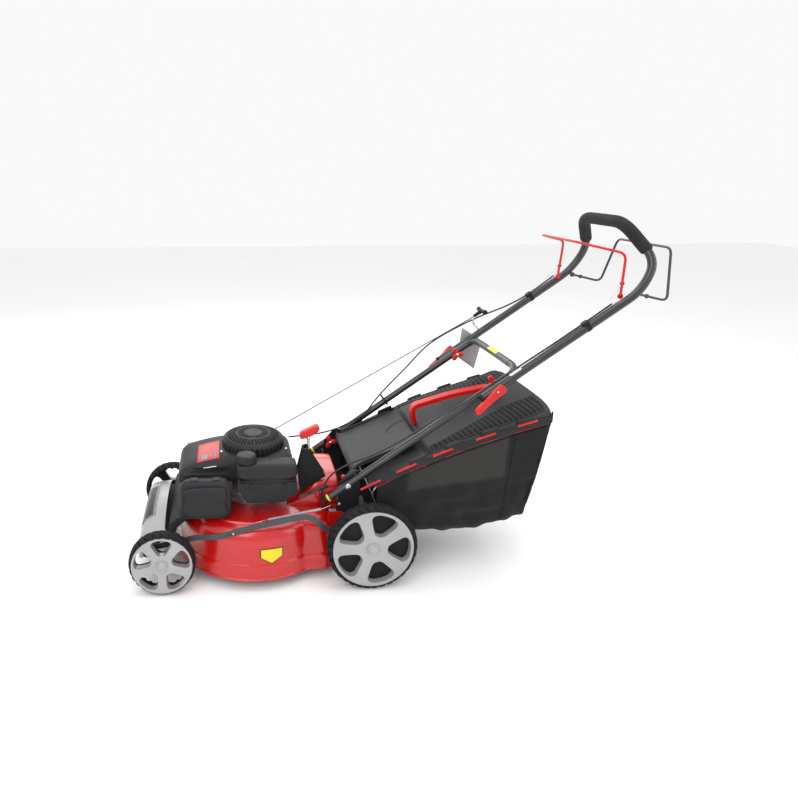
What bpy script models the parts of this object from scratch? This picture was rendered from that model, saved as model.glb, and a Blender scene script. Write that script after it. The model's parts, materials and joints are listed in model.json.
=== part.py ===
"""Petrol walk-behind rotary lawn mower with a rear grass bag, as an assembly of separate pieces.

Lengths are in metres, +Z is up, +X runs from the nose to the handle, and the ground is z = 0.
Every position is counted from the front wheels' axis; one empty then moves the whole machine, so
that the middle of its length is at x = 0.
"""
import math

import bmesh
import bpy
from mathutils import Matrix, Vector

# ---------------------------------------------------------------- driving sizes
GAP = 0.0005                    # left between pieces that touch
CUT_RADIUS = 0.253              # outside of the deck's round chamber
FRONT_WHEEL_R = 0.1015
REAR_WHEEL_R = 0.1395
TREAD = 0.045                   # width of every tyre
SHEET = 0.003                   # steel sheet of the deck
PLATE = 0.004                   # flat steel of brackets and cranks
PLASTIC = 0.004                 # wall of moulded covers
TUBE_R = 0.0125                 # upper handle tube
LOWER_TUBE_R = 0.011            # lower handle tube
TUBE_WALL = 0.0015
BOLT_R = 0.004                  # handle bolts
FIT = 0.0004                    # radial clearance of a turning shaft
HANDLE_SLOPE = math.radians(35.5)
HANDLE_HALF = 0.203             # mid-plane to the upper handle tube's axis
LOWER_REACH = 0.547             # lower bolt to handle joint, along the tube
UPPER_REACH = 0.498             # handle joint to the bend, along the tube
ROUND = 24                      # steps round a wheel-sized circle

# ---------------------------------------------------------------- places that follow from them
SPINDLE_X = CUT_RADIUS + 0.035
REAR_X = SPINDLE_X + CUT_RADIUS + 0.099
FRONT_FACE = CUT_RADIUS + 0.009         # outer face of the front tyres, from the mid-plane
REAR_FACE = CUT_RADIUS + 0.020
DECK_REAR_X = REAR_X - 0.095
RIM_Z = 0.035
DECK_TOP_Z = 0.205
SWING_ARM = Vector((0.050, 0, -0.0125))   # swing pivot to wheel axis, front and rear alike
FRONT_AXIS = Vector((0, 0, FRONT_WHEEL_R))
REAR_AXIS = Vector((REAR_X, 0, REAR_WHEEL_R))
FRONT_SWING = FRONT_AXIS - SWING_ARM
REAR_SWING = REAR_AXIS - SWING_ARM
LINK_PIN = Vector((0, 0, 0.022))          # swing pivot to the link bar's pin
LOWER_HALF = HANDLE_HALF - TUBE_R - LOWER_TUBE_R - GAP
ALONG = Vector((math.cos(HANDLE_SLOPE), 0, math.sin(HANDLE_SLOPE)))
LOWER_BOLT = Vector((REAR_X - 0.067, 0, 0.308))
HANDLE_JOINT = LOWER_BOLT + ALONG * LOWER_REACH
HANDLE_BEND = HANDLE_JOINT + ALONG * UPPER_REACH
FLAP_ROD = Vector((REAR_X - 0.042, 0, 0.337))
BRACKET_HALF = LOWER_HALF - LOWER_TUBE_R - GAP   # outer face of a handle bracket
BAIL_OVERHANG = 0.1251                           # drive bar's rear edge, behind the handle's bend
ORIGIN_X = (HANDLE_BEND.x + BAIL_OVERHANG - FRONT_WHEEL_R) / 2

# ---------------------------------------------------------------- sizes of: deck and nose
DECK_HALF = 0.200                # straight rear sides of the deck, from the mid-plane
HUMP_HALF = 0.112
HUMP_FRONT_X = DECK_REAR_X - 0.110
HUMP_TOP_Z = 0.305
NOSE_HALF = 0.172
NOSE_TOP_Z = 0.202
NOSE_ARCH = 0.035               # drop of the nose cover's top from the middle to its sides
NOSE_SHOULDER_Z = 0.150         # height above which the nose cover arches

# ---------------------------------------------------------------- sizes of: engine
ENGINE_HALF = 0.110
SHROUD_BASE_Z = 0.298
DOME_R = 0.103
DOME_Z = 0.352
CRANK_R = 0.0125
OIL_NECK = Vector((SPINDLE_X - 0.060, 0.134, 0.284))   # top of the oil filler
TANK_NEAR = -0.180
TANK_LOW_Z = 0.322
TANK_TOP_Z = 0.380
CAP_AT = Vector((SPINDLE_X - 0.028, -0.146, TANK_TOP_Z))
NECK_R = 0.022
FILTER_LEFT = SPINDLE_X - 0.234
FILTER_RIGHT = SPINDLE_X - 0.075
FILTER_LOW_Z = 0.2115
FILTER_TOP_Z = 0.338
FILTER_NEAR = -0.205
FILTER_JOIN = -0.160
TRAY_DEPTH = 0.048

# ---------------------------------------------------------------- sizes of: crank and blade
BLADE_HALF = CUT_RADIUS - 0.031
BLADE_Z = 0.066

# ---------------------------------------------------------------- sizes of: wheels
SPINDLE_R = 0.006
HUB_R = 0.022

# ---------------------------------------------------------------- sizes of: running gear
SWING_ROD_R = 0.007
FRONT_CRANK = FRONT_FACE - TREAD - 0.014     # inner face of the front cranks
REAR_CRANK = REAR_FACE - TREAD - 0.014

# ---------------------------------------------------------------- sizes of: height lever
LEVER_Y = -0.092
LEVER_PIVOT = Vector((DECK_REAR_X - 0.084, LEVER_Y, HUMP_TOP_Z + 0.002))
LEVER_TOP = Vector((DECK_REAR_X - 0.085, LEVER_Y, 0.440))

# ---------------------------------------------------------------- sizes of: rear end
FLAP_ROD_R = 0.004
FLAP_HALF = 0.140
FLAP_SLOPE = math.radians(23)
FLAP_LENGTH = 0.228

# ---------------------------------------------------------------- sizes of: grass bag
BAG_HALF = 0.213
BAG_FRONT_X = FLAP_ROD.x + 0.034
BAG_LENGTH = 0.566
BAG_REAR_LEAN = 0.19            # forward lean of the rear wall, per height
LID_STEP_T = 0.315              # where the lid steps up behind the flap, as a share of its length

# ---------------------------------------------------------------- sizes of: handle
CROSSBAR_REACH = 0.630          # lower bolt to the lower handle's crossbar, along the tube
GRIP_LOW = Vector((0.044, 0, 0.086))      # from the bend to the foam's lower end
GRIP_TOP = Vector((-0.022, 0, 0.194))     # from the bend to the top bar's corner
GRIP_LOW_HALF = 0.188
GRIP_TOP_HALF = 0.112
ARC_STEPS = 3
BAIL_R = 0.0035
BAIL_HALF = HANDLE_HALF - TUBE_R - BAIL_R - GAP
BRAKE_PIVOT = HANDLE_BEND + Vector((-0.051, 0, -0.018))
DRIVE_PIVOT = HANDLE_BEND + Vector((0.001, 0, -0.012))
LEVER_LEAN = math.radians(225)
CAM_R = 0.007
CAM_LENGTH = 0.104
CAM_WIDTH = 0.026
CAM_DIRECTION = Vector((math.cos(LEVER_LEAN), 0, math.sin(LEVER_LEAN)))
CAM_AXIS = Vector((-CAM_DIRECTION.z, 0, CAM_DIRECTION.x))

# ---------------------------------------------------------------- sizes of: starter and cables
ROPE_R = 0.0018
CABLE_R = 0.0028
GUIDE_AT = HANDLE_JOINT + ALONG * 0.118 + Vector((0, HANDLE_HALF, 0))
GRIP_AT = GUIDE_AT + Vector((-0.028, 0, 0.058))
ROPE_EXIT = Vector((SPINDLE_X + 0.076, DOME_R - 0.020, DOME_Z + 0.030))

# ---------------------------------------------------------------- sizes of: both sides
SIDES = (("left", -1), ("right", 1))


# ---------------------------------------------------------------- materials
def material(name, colour, roughness, metallic=0.0):
    made = bpy.data.materials.new(name)
    made.use_nodes = True
    shader = made.node_tree.nodes["Principled BSDF"]
    shader.inputs["Base Color"].default_value = (*colour, 1)
    shader.inputs["Roughness"].default_value = roughness
    shader.inputs["Metallic"].default_value = metallic
    return made


def finishes():
    return {
        "deck_red": material("deck_red", (0.60, 0.015, 0.012), 0.18),
        "lever_red": material("lever_red", (0.66, 0.03, 0.03), 0.38),
        "cover_black": material("cover_black", (0.035, 0.035, 0.037), 0.50),
        "lid_grey": material("lid_grey", (0.085, 0.085, 0.09), 0.50),
        "nose_silver": material("nose_silver", (0.62, 0.62, 0.63), 0.40, 0.3),
        "wheel_silver": material("wheel_silver", (0.60, 0.60, 0.61), 0.35, 0.4),
        "tyre_black": material("tyre_black", (0.025, 0.025, 0.026), 0.80),
        "cast_metal": material("cast_metal", (0.45, 0.45, 0.46), 0.45, 0.9),
        "steel": material("steel", (0.55, 0.55, 0.56), 0.35, 1.0),
        "tube_black": material("tube_black", (0.03, 0.032, 0.034), 0.42, 0.2),
        "link_grey": material("link_grey", (0.09, 0.11, 0.12), 0.50, 0.2),
        "foam_black": material("foam_black", (0.012, 0.012, 0.013), 0.95),
        "cable_black": material("cable_black", (0.02, 0.02, 0.02), 0.55),
        "bag_cloth": material("bag_cloth", (0.02, 0.02, 0.022), 0.90),
    }


# ---------------------------------------------------------------- shapes, each a bmesh
def prism(outline, low, high, axis="Y"):
    """A flat outline, pushed out along one axis; its points are the other two coordinates in order."""
    place = {
        "X": lambda p, h: (h, p[0], p[1]),
        "Y": lambda p, h: (p[0], h, p[1]),
        "Z": lambda p, h: (p[0], p[1], h),
    }[axis]
    mesh = bmesh.new()
    ends = [[mesh.verts.new(place(p, h)) for p in outline] for h in (low, high)]
    mesh.faces.new(ends[0])
    mesh.faces.new(ends[1][::-1])
    for i in range(len(outline)):
        j = (i + 1) % len(outline)
        mesh.faces.new((ends[0][j], ends[0][i], ends[1][i], ends[1][j]))
    bmesh.ops.recalc_face_normals(mesh, faces=mesh.faces[:])
    return mesh


def block(low, high):
    return prism([(low[0], low[2]), (high[0], low[2]), (high[0], high[2]), (low[0], high[2])], low[1],
                 high[1])


def turned(profile, centre, axis="Y", steps=ROUND):
    """A closed profile of (radius, height) points, turned round an axis; radius 0 is on the axis."""
    mesh = bmesh.new()
    angles = [2 * math.pi * i / steps for i in range(steps)]
    place = {
        "X": lambda r, h, a: (h, r * math.cos(a), r * math.sin(a)),
        "Y": lambda r, h, a: (r * math.cos(a), h, r * math.sin(a)),
        "Z": lambda r, h, a: (r * math.cos(a), r * math.sin(a), h),
    }[axis]
    rings = []
    for radius, height in profile:
        if radius > 0:
            rings.append([mesh.verts.new(Vector(centre) + Vector(place(radius, height, a))) for a in angles])
        else:
            rings.append([mesh.verts.new(Vector(centre) + Vector(place(0, height, 0)))] * steps)
    for ring, following in zip(rings, rings[1:] + rings[:1]):
        for i in range(steps):
            j = (i + 1) % steps
            corners = dict.fromkeys((ring[i], ring[j], following[j], following[i]))
            if len(corners) > 2:
                mesh.faces.new(corners)
    bmesh.ops.recalc_face_normals(mesh, faces=mesh.faces[:])
    return mesh


def cylinder(start, radius, length, axis="Y", steps=12):
    return turned([(0, 0), (radius, 0), (radius, length), (0, length)], start, axis, steps)


def rounded(points, radius, steps=4):
    """A path whose inner corners are replaced by arcs that start `radius` before each corner."""
    path = [Vector(points[0])]
    for before, corner, after in zip(points, points[1:], points[2:]):
        corner = Vector(corner)
        reach = min(radius, (Vector(before) - corner).length / 2, (Vector(after) - corner).length / 2)
        start = corner + (Vector(before) - corner).normalized() * reach
        end = corner + (Vector(after) - corner).normalized() * reach
        for i in range(steps + 1):
            t = i / steps
            path.append(start * (1 - t) ** 2 + corner * 2 * t * (1 - t) + end * t ** 2)
    path.append(Vector(points[-1]))
    return path


def sweep(path, section, up=(0, 1, 0), level=False):
    """A closed section of (side, up) points, carried along a path with capped ends."""
    mesh = bmesh.new()
    rings = section_rings(mesh, path, section, up, level)
    mesh.faces.new(rings[0])
    mesh.faces.new(rings[-1][::-1])
    bridge(mesh, rings)
    bmesh.ops.recalc_face_normals(mesh, faces=mesh.faces[:])
    return mesh


def section_rings(mesh, path, section, up, level=False):
    """The section at each point of the path; `level` keeps its up side from turning with the path."""
    path = [Vector(p) for p in path]
    rings = []
    hold = Vector(up)
    for i, point in enumerate(path):
        tangent = (path[min(i + 1, len(path) - 1)] - path[max(i - 1, 0)]).normalized()
        if level:
            hold = Vector(up)
        hold = (hold - tangent * hold.dot(tangent)).normalized()
        side = tangent.cross(hold)
        rings.append([mesh.verts.new(point + side * a + hold * b) for a, b in section])
    return rings


def bridge(mesh, rings):
    count = len(rings[0])
    for ring, following in zip(rings, rings[1:]):
        for i in range(count):
            j = (i + 1) % count
            mesh.faces.new((ring[i], ring[j], following[j], following[i]))


def circle(radius, sides):
    return [(radius * math.cos(2 * math.pi * i / sides), radius * math.sin(2 * math.pi * i / sides))
            for i in range(sides)]


def rod(path, radius, sides=8, up=(0, 1, 0)):
    return sweep(path, circle(radius, sides), up)


def pipe(path, radius, wall, sides=12, up=(0, 1, 0)):
    """A tube with open ends: an outer and an inner skin, joined by a ring at each end."""
    mesh = bmesh.new()
    outer = section_rings(mesh, path, circle(radius, sides), up)
    inner = section_rings(mesh, path, circle(radius - wall, sides), up)
    bridge(mesh, outer)
    bridge(mesh, inner)
    for out_ring, in_ring in ((outer[0], inner[0]), (outer[-1], inner[-1])):
        for i in range(sides):
            j = (i + 1) % sides
            mesh.faces.new((out_ring[i], out_ring[j], in_ring[j], in_ring[i]))
    bmesh.ops.recalc_face_normals(mesh, faces=mesh.faces[:])
    return mesh


def softened(mesh, width, segments=2):
    """Bevel every edge sharper than 30 degrees."""
    sharp = [e for e in mesh.edges if e.calc_face_angle(0) > math.radians(30)]
    bmesh.ops.bevel(mesh, geom=sharp, offset=width, segments=segments, profile=0.5, affect="EDGES",
                    clamp_overlap=True)
    return mesh


def shell(rows, wall):
    """An open surface through rows of points, given a wall on its inner side and closed at its edges."""
    mesh = bmesh.new()
    grid = [[mesh.verts.new(p) for p in row] for row in rows]
    for row, following in zip(grid, grid[1:]):
        for i in range(len(row) - 1):
            mesh.faces.new((row[i], row[i + 1], following[i + 1], following[i]))
    skin = as_object("skin", mesh)
    thick = skin.modifiers.new("wall", "SOLIDIFY")
    thick.thickness = wall
    thick.offset = -1
    return taken(skin)


def joined(*meshes):
    return combined("UNION", meshes)


def without(*meshes):
    return combined("DIFFERENCE", meshes)


def combined(operation, meshes):
    base = as_object("base", meshes[0])
    tools = [as_object("tool", mesh) for mesh in meshes[1:]]
    for tool in tools:
        step = base.modifiers.new("combine", "BOOLEAN")
        step.operation = operation
        step.solver = "EXACT"
        step.object = tool
    result = taken(base)
    for tool in tools:
        bpy.data.objects.remove(tool)
    return result


def as_object(name, mesh):
    data = bpy.data.meshes.new(name)
    mesh.to_mesh(data)
    mesh.free()
    made = bpy.data.objects.new(name, data)
    bpy.context.scene.collection.objects.link(made)
    return made


def taken(source):
    """The object's finished mesh, with its modifiers done, as a bmesh; the object is removed."""
    bpy.context.view_layer.update()
    seen = source.evaluated_get(bpy.context.evaluated_depsgraph_get())
    mesh = bmesh.new()
    mesh.from_mesh(seen.to_mesh())
    seen.to_mesh_clear()
    bpy.data.objects.remove(source)
    return mesh


def moved(mesh, offset):
    bmesh.ops.translate(mesh, verts=mesh.verts[:], vec=Vector(offset))
    return mesh


def mirrored(mesh):
    """The same shape on the other side of the mid-plane."""
    bmesh.ops.scale(mesh, verts=mesh.verts[:], vec=(1, -1, 1))
    bmesh.ops.reverse_faces(mesh, faces=mesh.faces[:])
    return mesh


def on_side(mesh, side):
    """Shapes are drawn on the -Y side; side = 1 gives the other one."""
    return mirrored(mesh) if side > 0 else mesh


# ---------------------------------------------------------------- assembly
class Assembly:
    """Joint empties, and the pieces that hang on them."""

    def __init__(self):
        self.finish = finishes()
        self.pivots = {}
        self.empties = {}
        self.pivots["mower"] = Vector((0, 0, 0))
        self.empties["mower"] = bpy.data.objects.new("mower", None)
        self.empties["mower"].location = (-ORIGIN_X, 0, 0)
        bpy.context.scene.collection.objects.link(self.empties["mower"])

    def body(self, name, pivot, parent="mower"):
        empty = bpy.data.objects.new(name, None)
        empty.location = Vector(pivot) - self.pivots[parent]
        empty.parent = self.empties[parent]
        bpy.context.scene.collection.objects.link(empty)
        self.pivots[name] = Vector(pivot)
        self.empties[name] = empty

    def add(self, name, mesh, finish, body="mower", smooth=40):
        made = as_object(name, moved(mesh, -self.pivots[body]))
        made.parent = self.empties[body]
        made.data.materials.append(self.finish[finish])
        made.data.shade_smooth()
        made.data.set_sharp_from_angle(angle=math.radians(smooth))
        return made


# ---------------------------------------------------------------- deck and nose
def deck_outline(inset, half_rear, steps=14):
    """Round chamber in front, straight sides to a flat rear end, all drawn in by `inset`."""
    radius = CUT_RADIUS - inset
    half = half_rear - inset
    rear = DECK_REAR_X - inset
    turn = math.asin(half / radius)
    ring = []
    for i in range(steps + 1):
        angle = turn + (2 * math.pi - 2 * turn) * i / steps
        ring.append((SPINDLE_X + radius * math.cos(angle), radius * math.sin(angle)))
    return [(rear, half)] + ring + [(rear, -half)]


def deck_body(levels, half_rear):
    """Closed stack of outlines, from (inset, z) levels."""
    mesh = bmesh.new()
    rings = []
    for inset, z in levels:
        rings.append([mesh.verts.new((x, y, z)) for x, y in deck_outline(inset, half_rear)])
    mesh.faces.new(rings[0])
    mesh.faces.new(rings[-1][::-1])
    bridge(mesh, rings)
    bmesh.ops.recalc_face_normals(mesh, faces=mesh.faces[:])
    return mesh


def hump(inset):
    """Side view of the raised discharge passage."""
    low = RIM_Z + 0.010 + inset
    rear = DECK_REAR_X + (0.010 if inset else 0)
    outline = [(HUMP_FRONT_X + inset, low), (rear, low), (rear, HUMP_TOP_Z - inset),
               (DECK_REAR_X - 0.030, HUMP_TOP_Z - inset), (HUMP_FRONT_X + inset, HUMP_TOP_Z - 0.050 - inset)]
    return prism(outline, -HUMP_HALF + inset, HUMP_HALF - inset)


def deck():
    outer = [(-0.004, RIM_Z), (-0.004, RIM_Z + 0.004), (0, RIM_Z + 0.006), (0.001, 0.083), (0.005, 0.090),
             (0.006, 0.150), (0.014, 0.172), (0.045, DECK_TOP_Z - 0.004), (0.055, DECK_TOP_Z)]
    inner = [(0.003, RIM_Z - 0.010), (0.003, 0.083), (0.008, 0.091), (0.009, 0.150), (0.017, 0.170),
             (0.048, DECK_TOP_Z - 0.007), (0.058, DECK_TOP_Z - SHEET)]
    crank_hole = cylinder((SPINDLE_X, 0, DECK_TOP_Z - 0.010), 0.020, 0.020, "Z", 16)
    body = joined(deck_body(outer, DECK_HALF), hump(0))
    return without(body, deck_body(inner, DECK_HALF), hump(SHEET), crank_hole)


def nose_housing():
    """Dark cover over the front axle, with two cheeks that carry the swing rod."""
    side = [(-0.056, 0.130), (-0.052, 0.148), (0.012, 0.152), (0.018, 0.190),
            (0.030, NOSE_TOP_Z - 0.004),
            (0.043, DECK_TOP_Z + 0.005), (0.087, DECK_TOP_Z + 0.005), (0.087, DECK_TOP_Z + 0.001),
            (0.074, DECK_TOP_Z - 0.002), (0.043, 0.176), (0.034, 0.150), (0.022, 0.130)]
    body = softened(prism(side, -NOSE_HALF, NOSE_HALF), 0.004)
    hollow = [(-0.050, 0.120), (-0.047, 0.144), (0.016, 0.148), (0.022, 0.186), (0.034, 0.193),
              (0.038, 0.180), (0.027, 0.152), (0.014, 0.120)]
    room = prism(hollow, -NOSE_HALF + PLASTIC, NOSE_HALF - PLASTIC)
    cheek = [(FRONT_SWING.x - 0.016, FRONT_SWING.z - 0.016), (FRONT_SWING.x + 0.020, FRONT_SWING.z - 0.016),
             (FRONT_SWING.x + 0.044, 0.134), (FRONT_SWING.x + 0.036, 0.147), (FRONT_SWING.x + 0.004, 0.147)]
    sides = [prism(cheek, s * (NOSE_HALF - 0.010) - 0.003, s * (NOSE_HALF - 0.010) + 0.003) for s in (-1, 1)]
    bore = cylinder((FRONT_SWING.x, -NOSE_HALF - 0.010, FRONT_SWING.z), SWING_ROD_R + FIT,
                    2 * NOSE_HALF + 0.020, "Y", 16)
    return without(joined(without(body, room), *sides), bore)


def nose_cover():
    """Bright panel in front of the housing, leaning back and arched, with a wing round each corner."""
    half = NOSE_HALF + 0.005
    rows = []
    for z, front, wing in ((0.078, -0.083, 0.014), (0.120, -0.080, 0.015), (0.128, -0.079, 0.058),
                           (0.150, -0.074, 0.062), (0.165, -0.069, 0.058), (0.180, -0.060, 0.050),
                           (0.192, -0.034, 0.034), (NOSE_TOP_Z, 0.002, 0.018)):
        near = [(front + wing, -half), (front + 0.012, -half), (front + 0.003, -half + 0.012),
                (front, -half * 0.6), (front, 0)]
        drop = NOSE_ARCH * max(0, z - NOSE_SHOULDER_Z) / (NOSE_TOP_Z - NOSE_SHOULDER_Z)
        outline = near + [(x, -y) for x, y in near[-2::-1]]
        rows.append([(x, y, z - drop * (y / half) ** 2) for x, y in outline])
    return shell(rows, 0.0025)


# ---------------------------------------------------------------- engine


def engine_block():
    foot = DECK_TOP_Z + GAP
    case = turned([(0, foot), (0.098, foot), (0.098, foot + 0.012), (0.086, foot + 0.020), (0.086, 0.268),
                   (0.070, 0.285), (0, 0.285)], (SPINDLE_X, 0, 0), "Z", 20)
    parts = [case]
    head_x = SPINDLE_X - 0.178
    parts.append(block((head_x, -0.046, foot + 0.016), (SPINDLE_X - 0.040, 0.046, 0.284)))
    for i in range(5):
        x = head_x + 0.010 + 0.016 * i
        parts.append(block((x, -0.062, foot + 0.022), (x + 0.004, 0.062, 0.2845)))
    parts.append(cylinder((OIL_NECK.x, OIL_NECK.y, foot + 0.004), 0.014, OIL_NECK.z - foot - 0.004, "Z", 12))
    parts.append(block((OIL_NECK.x - 0.012, 0.060, foot + 0.006),
                       (OIL_NECK.x + 0.012, OIL_NECK.y, foot + 0.032)))
    bore = cylinder((SPINDLE_X, 0, foot - 0.010), CRANK_R + FIT, 0.120, "Z", 20)
    return without(joined(*parts), bore)


def engine_shroud():
    front = SPINDLE_X - 0.244
    rear = SPINDLE_X + 0.127
    side = [(front, 0.290), (front + 0.004, 0.318), (front + 0.030, 0.344), (front + 0.110, 0.368),
            (SPINDLE_X - 0.060, 0.379), (SPINDLE_X + 0.070, 0.379), (rear - 0.020, 0.366),
            (rear, 0.338), (rear, SHROUD_BASE_Z), (front + 0.050, SHROUD_BASE_Z)]
    body = softened(prism(side, -ENGINE_HALF, ENGINE_HALF), 0.012, 2)
    wall = PLASTIC
    room = [(front + 0.040, 0.280), (front + 0.040, 0.337), (front + 0.112, 0.361),
            (SPINDLE_X - 0.060, 0.371), (SPINDLE_X + 0.070, 0.371), (rear - 0.022, 0.359),
            (rear - wall - 0.002, 0.334), (rear - wall - 0.002, 0.280)]
    hollow = prism(room, -ENGINE_HALF + wall + 0.002, ENGINE_HALF - wall - 0.002)
    intake = cylinder((SPINDLE_X, 0, DOME_Z - 0.020), DOME_R + GAP, 0.080, "Z", ROUND)
    return without(body, hollow, intake)


def recoil_dome():
    """Starter housing: a cup, open below, with a low skirt."""
    outer = [(DOME_R, DOME_Z), (DOME_R, DOME_Z + 0.040), (DOME_R - 0.007, DOME_Z + 0.053),
             (DOME_R - 0.030, DOME_Z + 0.063), (DOME_R - 0.065, DOME_Z + 0.066), (0, DOME_Z + 0.066)]
    inner = [(0, DOME_Z + 0.062), (DOME_R - 0.066, DOME_Z + 0.062), (DOME_R - 0.032, DOME_Z + 0.058),
             (DOME_R - 0.012, DOME_Z + 0.048), (DOME_R - 0.005, DOME_Z + 0.038), (DOME_R - 0.005, DOME_Z)]
    return turned(outer + inner, (SPINDLE_X, 0, 0), "Z", ROUND)


def fuel_tank():
    far = -ENGINE_HALF - GAP
    side = [(SPINDLE_X - 0.058, TANK_LOW_Z), (SPINDLE_X + 0.130, TANK_LOW_Z),
            (SPINDLE_X + 0.130, TANK_TOP_Z - 0.006), (SPINDLE_X + 0.122, TANK_TOP_Z),
            (SPINDLE_X - 0.050, TANK_TOP_Z - 0.002), (SPINDLE_X - 0.058, TANK_TOP_Z - 0.012)]
    body = softened(prism(side, TANK_NEAR, far), 0.006)
    neck = cylinder(CAP_AT - Vector((0, 0, 0.010)), NECK_R, 0.018, "Z", 16)
    bore = cylinder(CAP_AT - Vector((0, 0, 0.030)), NECK_R - 0.003, 0.050, "Z", 16)
    inside = block((SPINDLE_X - 0.050, TANK_NEAR + 0.008, TANK_LOW_Z + 0.008),
                   (SPINDLE_X + 0.120, far - 0.006, TANK_TOP_Z - 0.008))
    return without(joined(body, neck), bore, inside)


def fuel_cap():
    top = 0.026
    rim = NECK_R + 0.009
    profile = [(0, top), (rim - 0.005, top), (rim, top - 0.004), (rim, GAP), (NECK_R + GAP, GAP),
               (NECK_R + GAP, 0.0095), (0, 0.0095)]
    return turned(profile, CAP_AT, "Z", 20)


def tank_skirt():
    """Plate that hangs below the tank, with cut corners and a top flange."""
    left = SPINDLE_X - 0.056
    right = SPINDLE_X + 0.130
    low = 0.2525
    top = TANK_LOW_Z - GAP
    outline = [(left, top), (left, 0.300), (left + 0.020, low + 0.012), (left + 0.030, low),
               (right - 0.040, low), (right - 0.026, low + 0.020), (right, low + 0.026), (right, top)]
    near = TANK_NEAR + 0.008
    plate = prism(outline, near, near + PLASTIC)
    flange = block((left, near, top - PLASTIC), (right, -ENGINE_HALF - 0.010, top))
    return joined(plate, flange)


def filter_outline(inset):
    low = (FILTER_LEFT + inset, FILTER_LOW_Z + inset)
    high = (FILTER_RIGHT - inset, FILTER_TOP_Z - inset)
    cut = 0.014 - inset / 2
    return [(low[0] + cut, low[1]), (high[0] - cut, low[1]), (high[0], low[1] + cut),
            (high[0], high[1] - cut), (high[0] - cut, high[1]), (low[0] + cut, high[1]),
            (low[0], high[1] - cut), (low[0], low[1] + cut)]


def air_filter_cover():
    body = softened(prism(filter_outline(0), FILTER_NEAR, FILTER_JOIN - GAP), 0.005)
    room = prism(filter_outline(PLASTIC + 0.002), FILTER_NEAR + 0.008, FILTER_JOIN + 0.010)
    return without(body, room)


def air_filter_base():
    plate = prism(filter_outline(0.002), FILTER_JOIN, FILTER_JOIN + PLASTIC)
    tray = prism(filter_outline(0.022), FILTER_JOIN + PLASTIC / 2, FILTER_JOIN + TRAY_DEPTH)
    throat = cylinder((SPINDLE_X - 0.128, FILTER_JOIN - 0.010, 0.258), 0.012, TRAY_DEPTH + 0.020, "Y", 12)
    return without(joined(plate, tray), throat)


def carburettor():
    """Body between the filter tray and the cylinder, with its float bowl below."""
    start = FILTER_JOIN + TRAY_DEPTH + GAP
    centre = (SPINDLE_X - 0.128, 0, 0.258)
    length = -0.062 - GAP - start
    barrel = cylinder((centre[0], start, centre[2]), 0.018, length, "Y", 12)
    bowl = cylinder((centre[0], start + length / 2, centre[2] - 0.034), 0.014, 0.030, "Z", 12)
    return joined(barrel, bowl)


def muffler():
    low = (SPINDLE_X - 0.230, 0.120, 0.222)
    high = (SPINDLE_X - 0.100, 0.168, 0.318)
    box = softened(block(low, high), 0.008)
    pipe_end = cylinder((SPINDLE_X - 0.150, 0.063, 0.262), 0.011, 0.062, "Y", 12)
    outlet = cylinder((SPINDLE_X - 0.210, 0.150, 0.240), 0.009, 0.028, "Y", 12)
    return joined(box, pipe_end, outlet)


def spark_plug_boot():
    x = SPINDLE_X - 0.178 - GAP
    profile = [(0, 0), (0.007, 0), (0.007, -0.012), (0.010, -0.016), (0.011, -0.036), (0.006, -0.044),
               (0, -0.044)]
    return turned(profile, (x, 0, 0.268), "X", 12)


def oil_cap():
    profile = [(0, 0), (0.016, 0), (0.018, 0.004), (0.018, 0.016), (0.014, 0.022), (0, 0.022)]
    return turned(profile, OIL_NECK + Vector((0, 0, GAP)), "Z", 12)


# ---------------------------------------------------------------- crank and blade


def crankshaft():
    profile = [(0, BLADE_Z), (0.011, BLADE_Z), (0.011, BLADE_Z + 0.008), (0.024, BLADE_Z + 0.008),
               (0.024, BLADE_Z + 0.040), (CRANK_R, BLADE_Z + 0.044), (CRANK_R, 0.322 - GAP),
               (0.009, 0.322 - GAP), (0.009, 0.352), (0, 0.352)]
    return turned(profile, (SPINDLE_X, 0, 0), "Z", 20)


def blade():
    """Flat bar whose trailing corners are turned up as lifting wings."""
    low = BLADE_Z + 0.003
    wing = 0.016
    bar = block((SPINDLE_X - 0.025, -BLADE_HALF, low), (SPINDLE_X + 0.025, BLADE_HALF, low + PLATE))
    wings = []
    for s in (-1, 1):
        x = SPINDLE_X + s * 0.023
        inner = s * (BLADE_HALF - 0.070)
        outer = s * (BLADE_HALF - 0.006)
        outline = [(inner, low + 0.001), (outer, low + 0.001), (outer, low + wing),
                   (s * (BLADE_HALF - 0.040), low + wing)]
        wings.append(prism(outline, x - 0.002, x + 0.002, "X"))
    bore = cylinder((SPINDLE_X, 0, low - 0.010), 0.011 + FIT, 0.030, "Z", 16)
    return without(joined(bar, *wings), bore)


def blade_bolt():
    top = BLADE_Z - GAP
    profile = [(0, top - 0.018), (0.009, top - 0.018), (0.009, top - 0.006), (0.016, top - 0.004),
               (0.016, top), (0, top)]
    return turned(profile, (SPINDLE_X, 0, 0), "Z", 6)


def flywheel():
    profile = [(0.009 + FIT, 0.322), (0.088, 0.322), (0.088, 0.330), (0.060, 0.333), (0.060, 0.348),
               (0.052, 0.348), (0.052, 0.333), (0.020, 0.333), (0.020, 0.344), (0.009 + FIT, 0.344)]
    return turned(profile, (SPINDLE_X, 0, 0), "Z", 16)


# ---------------------------------------------------------------- wheels


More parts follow.
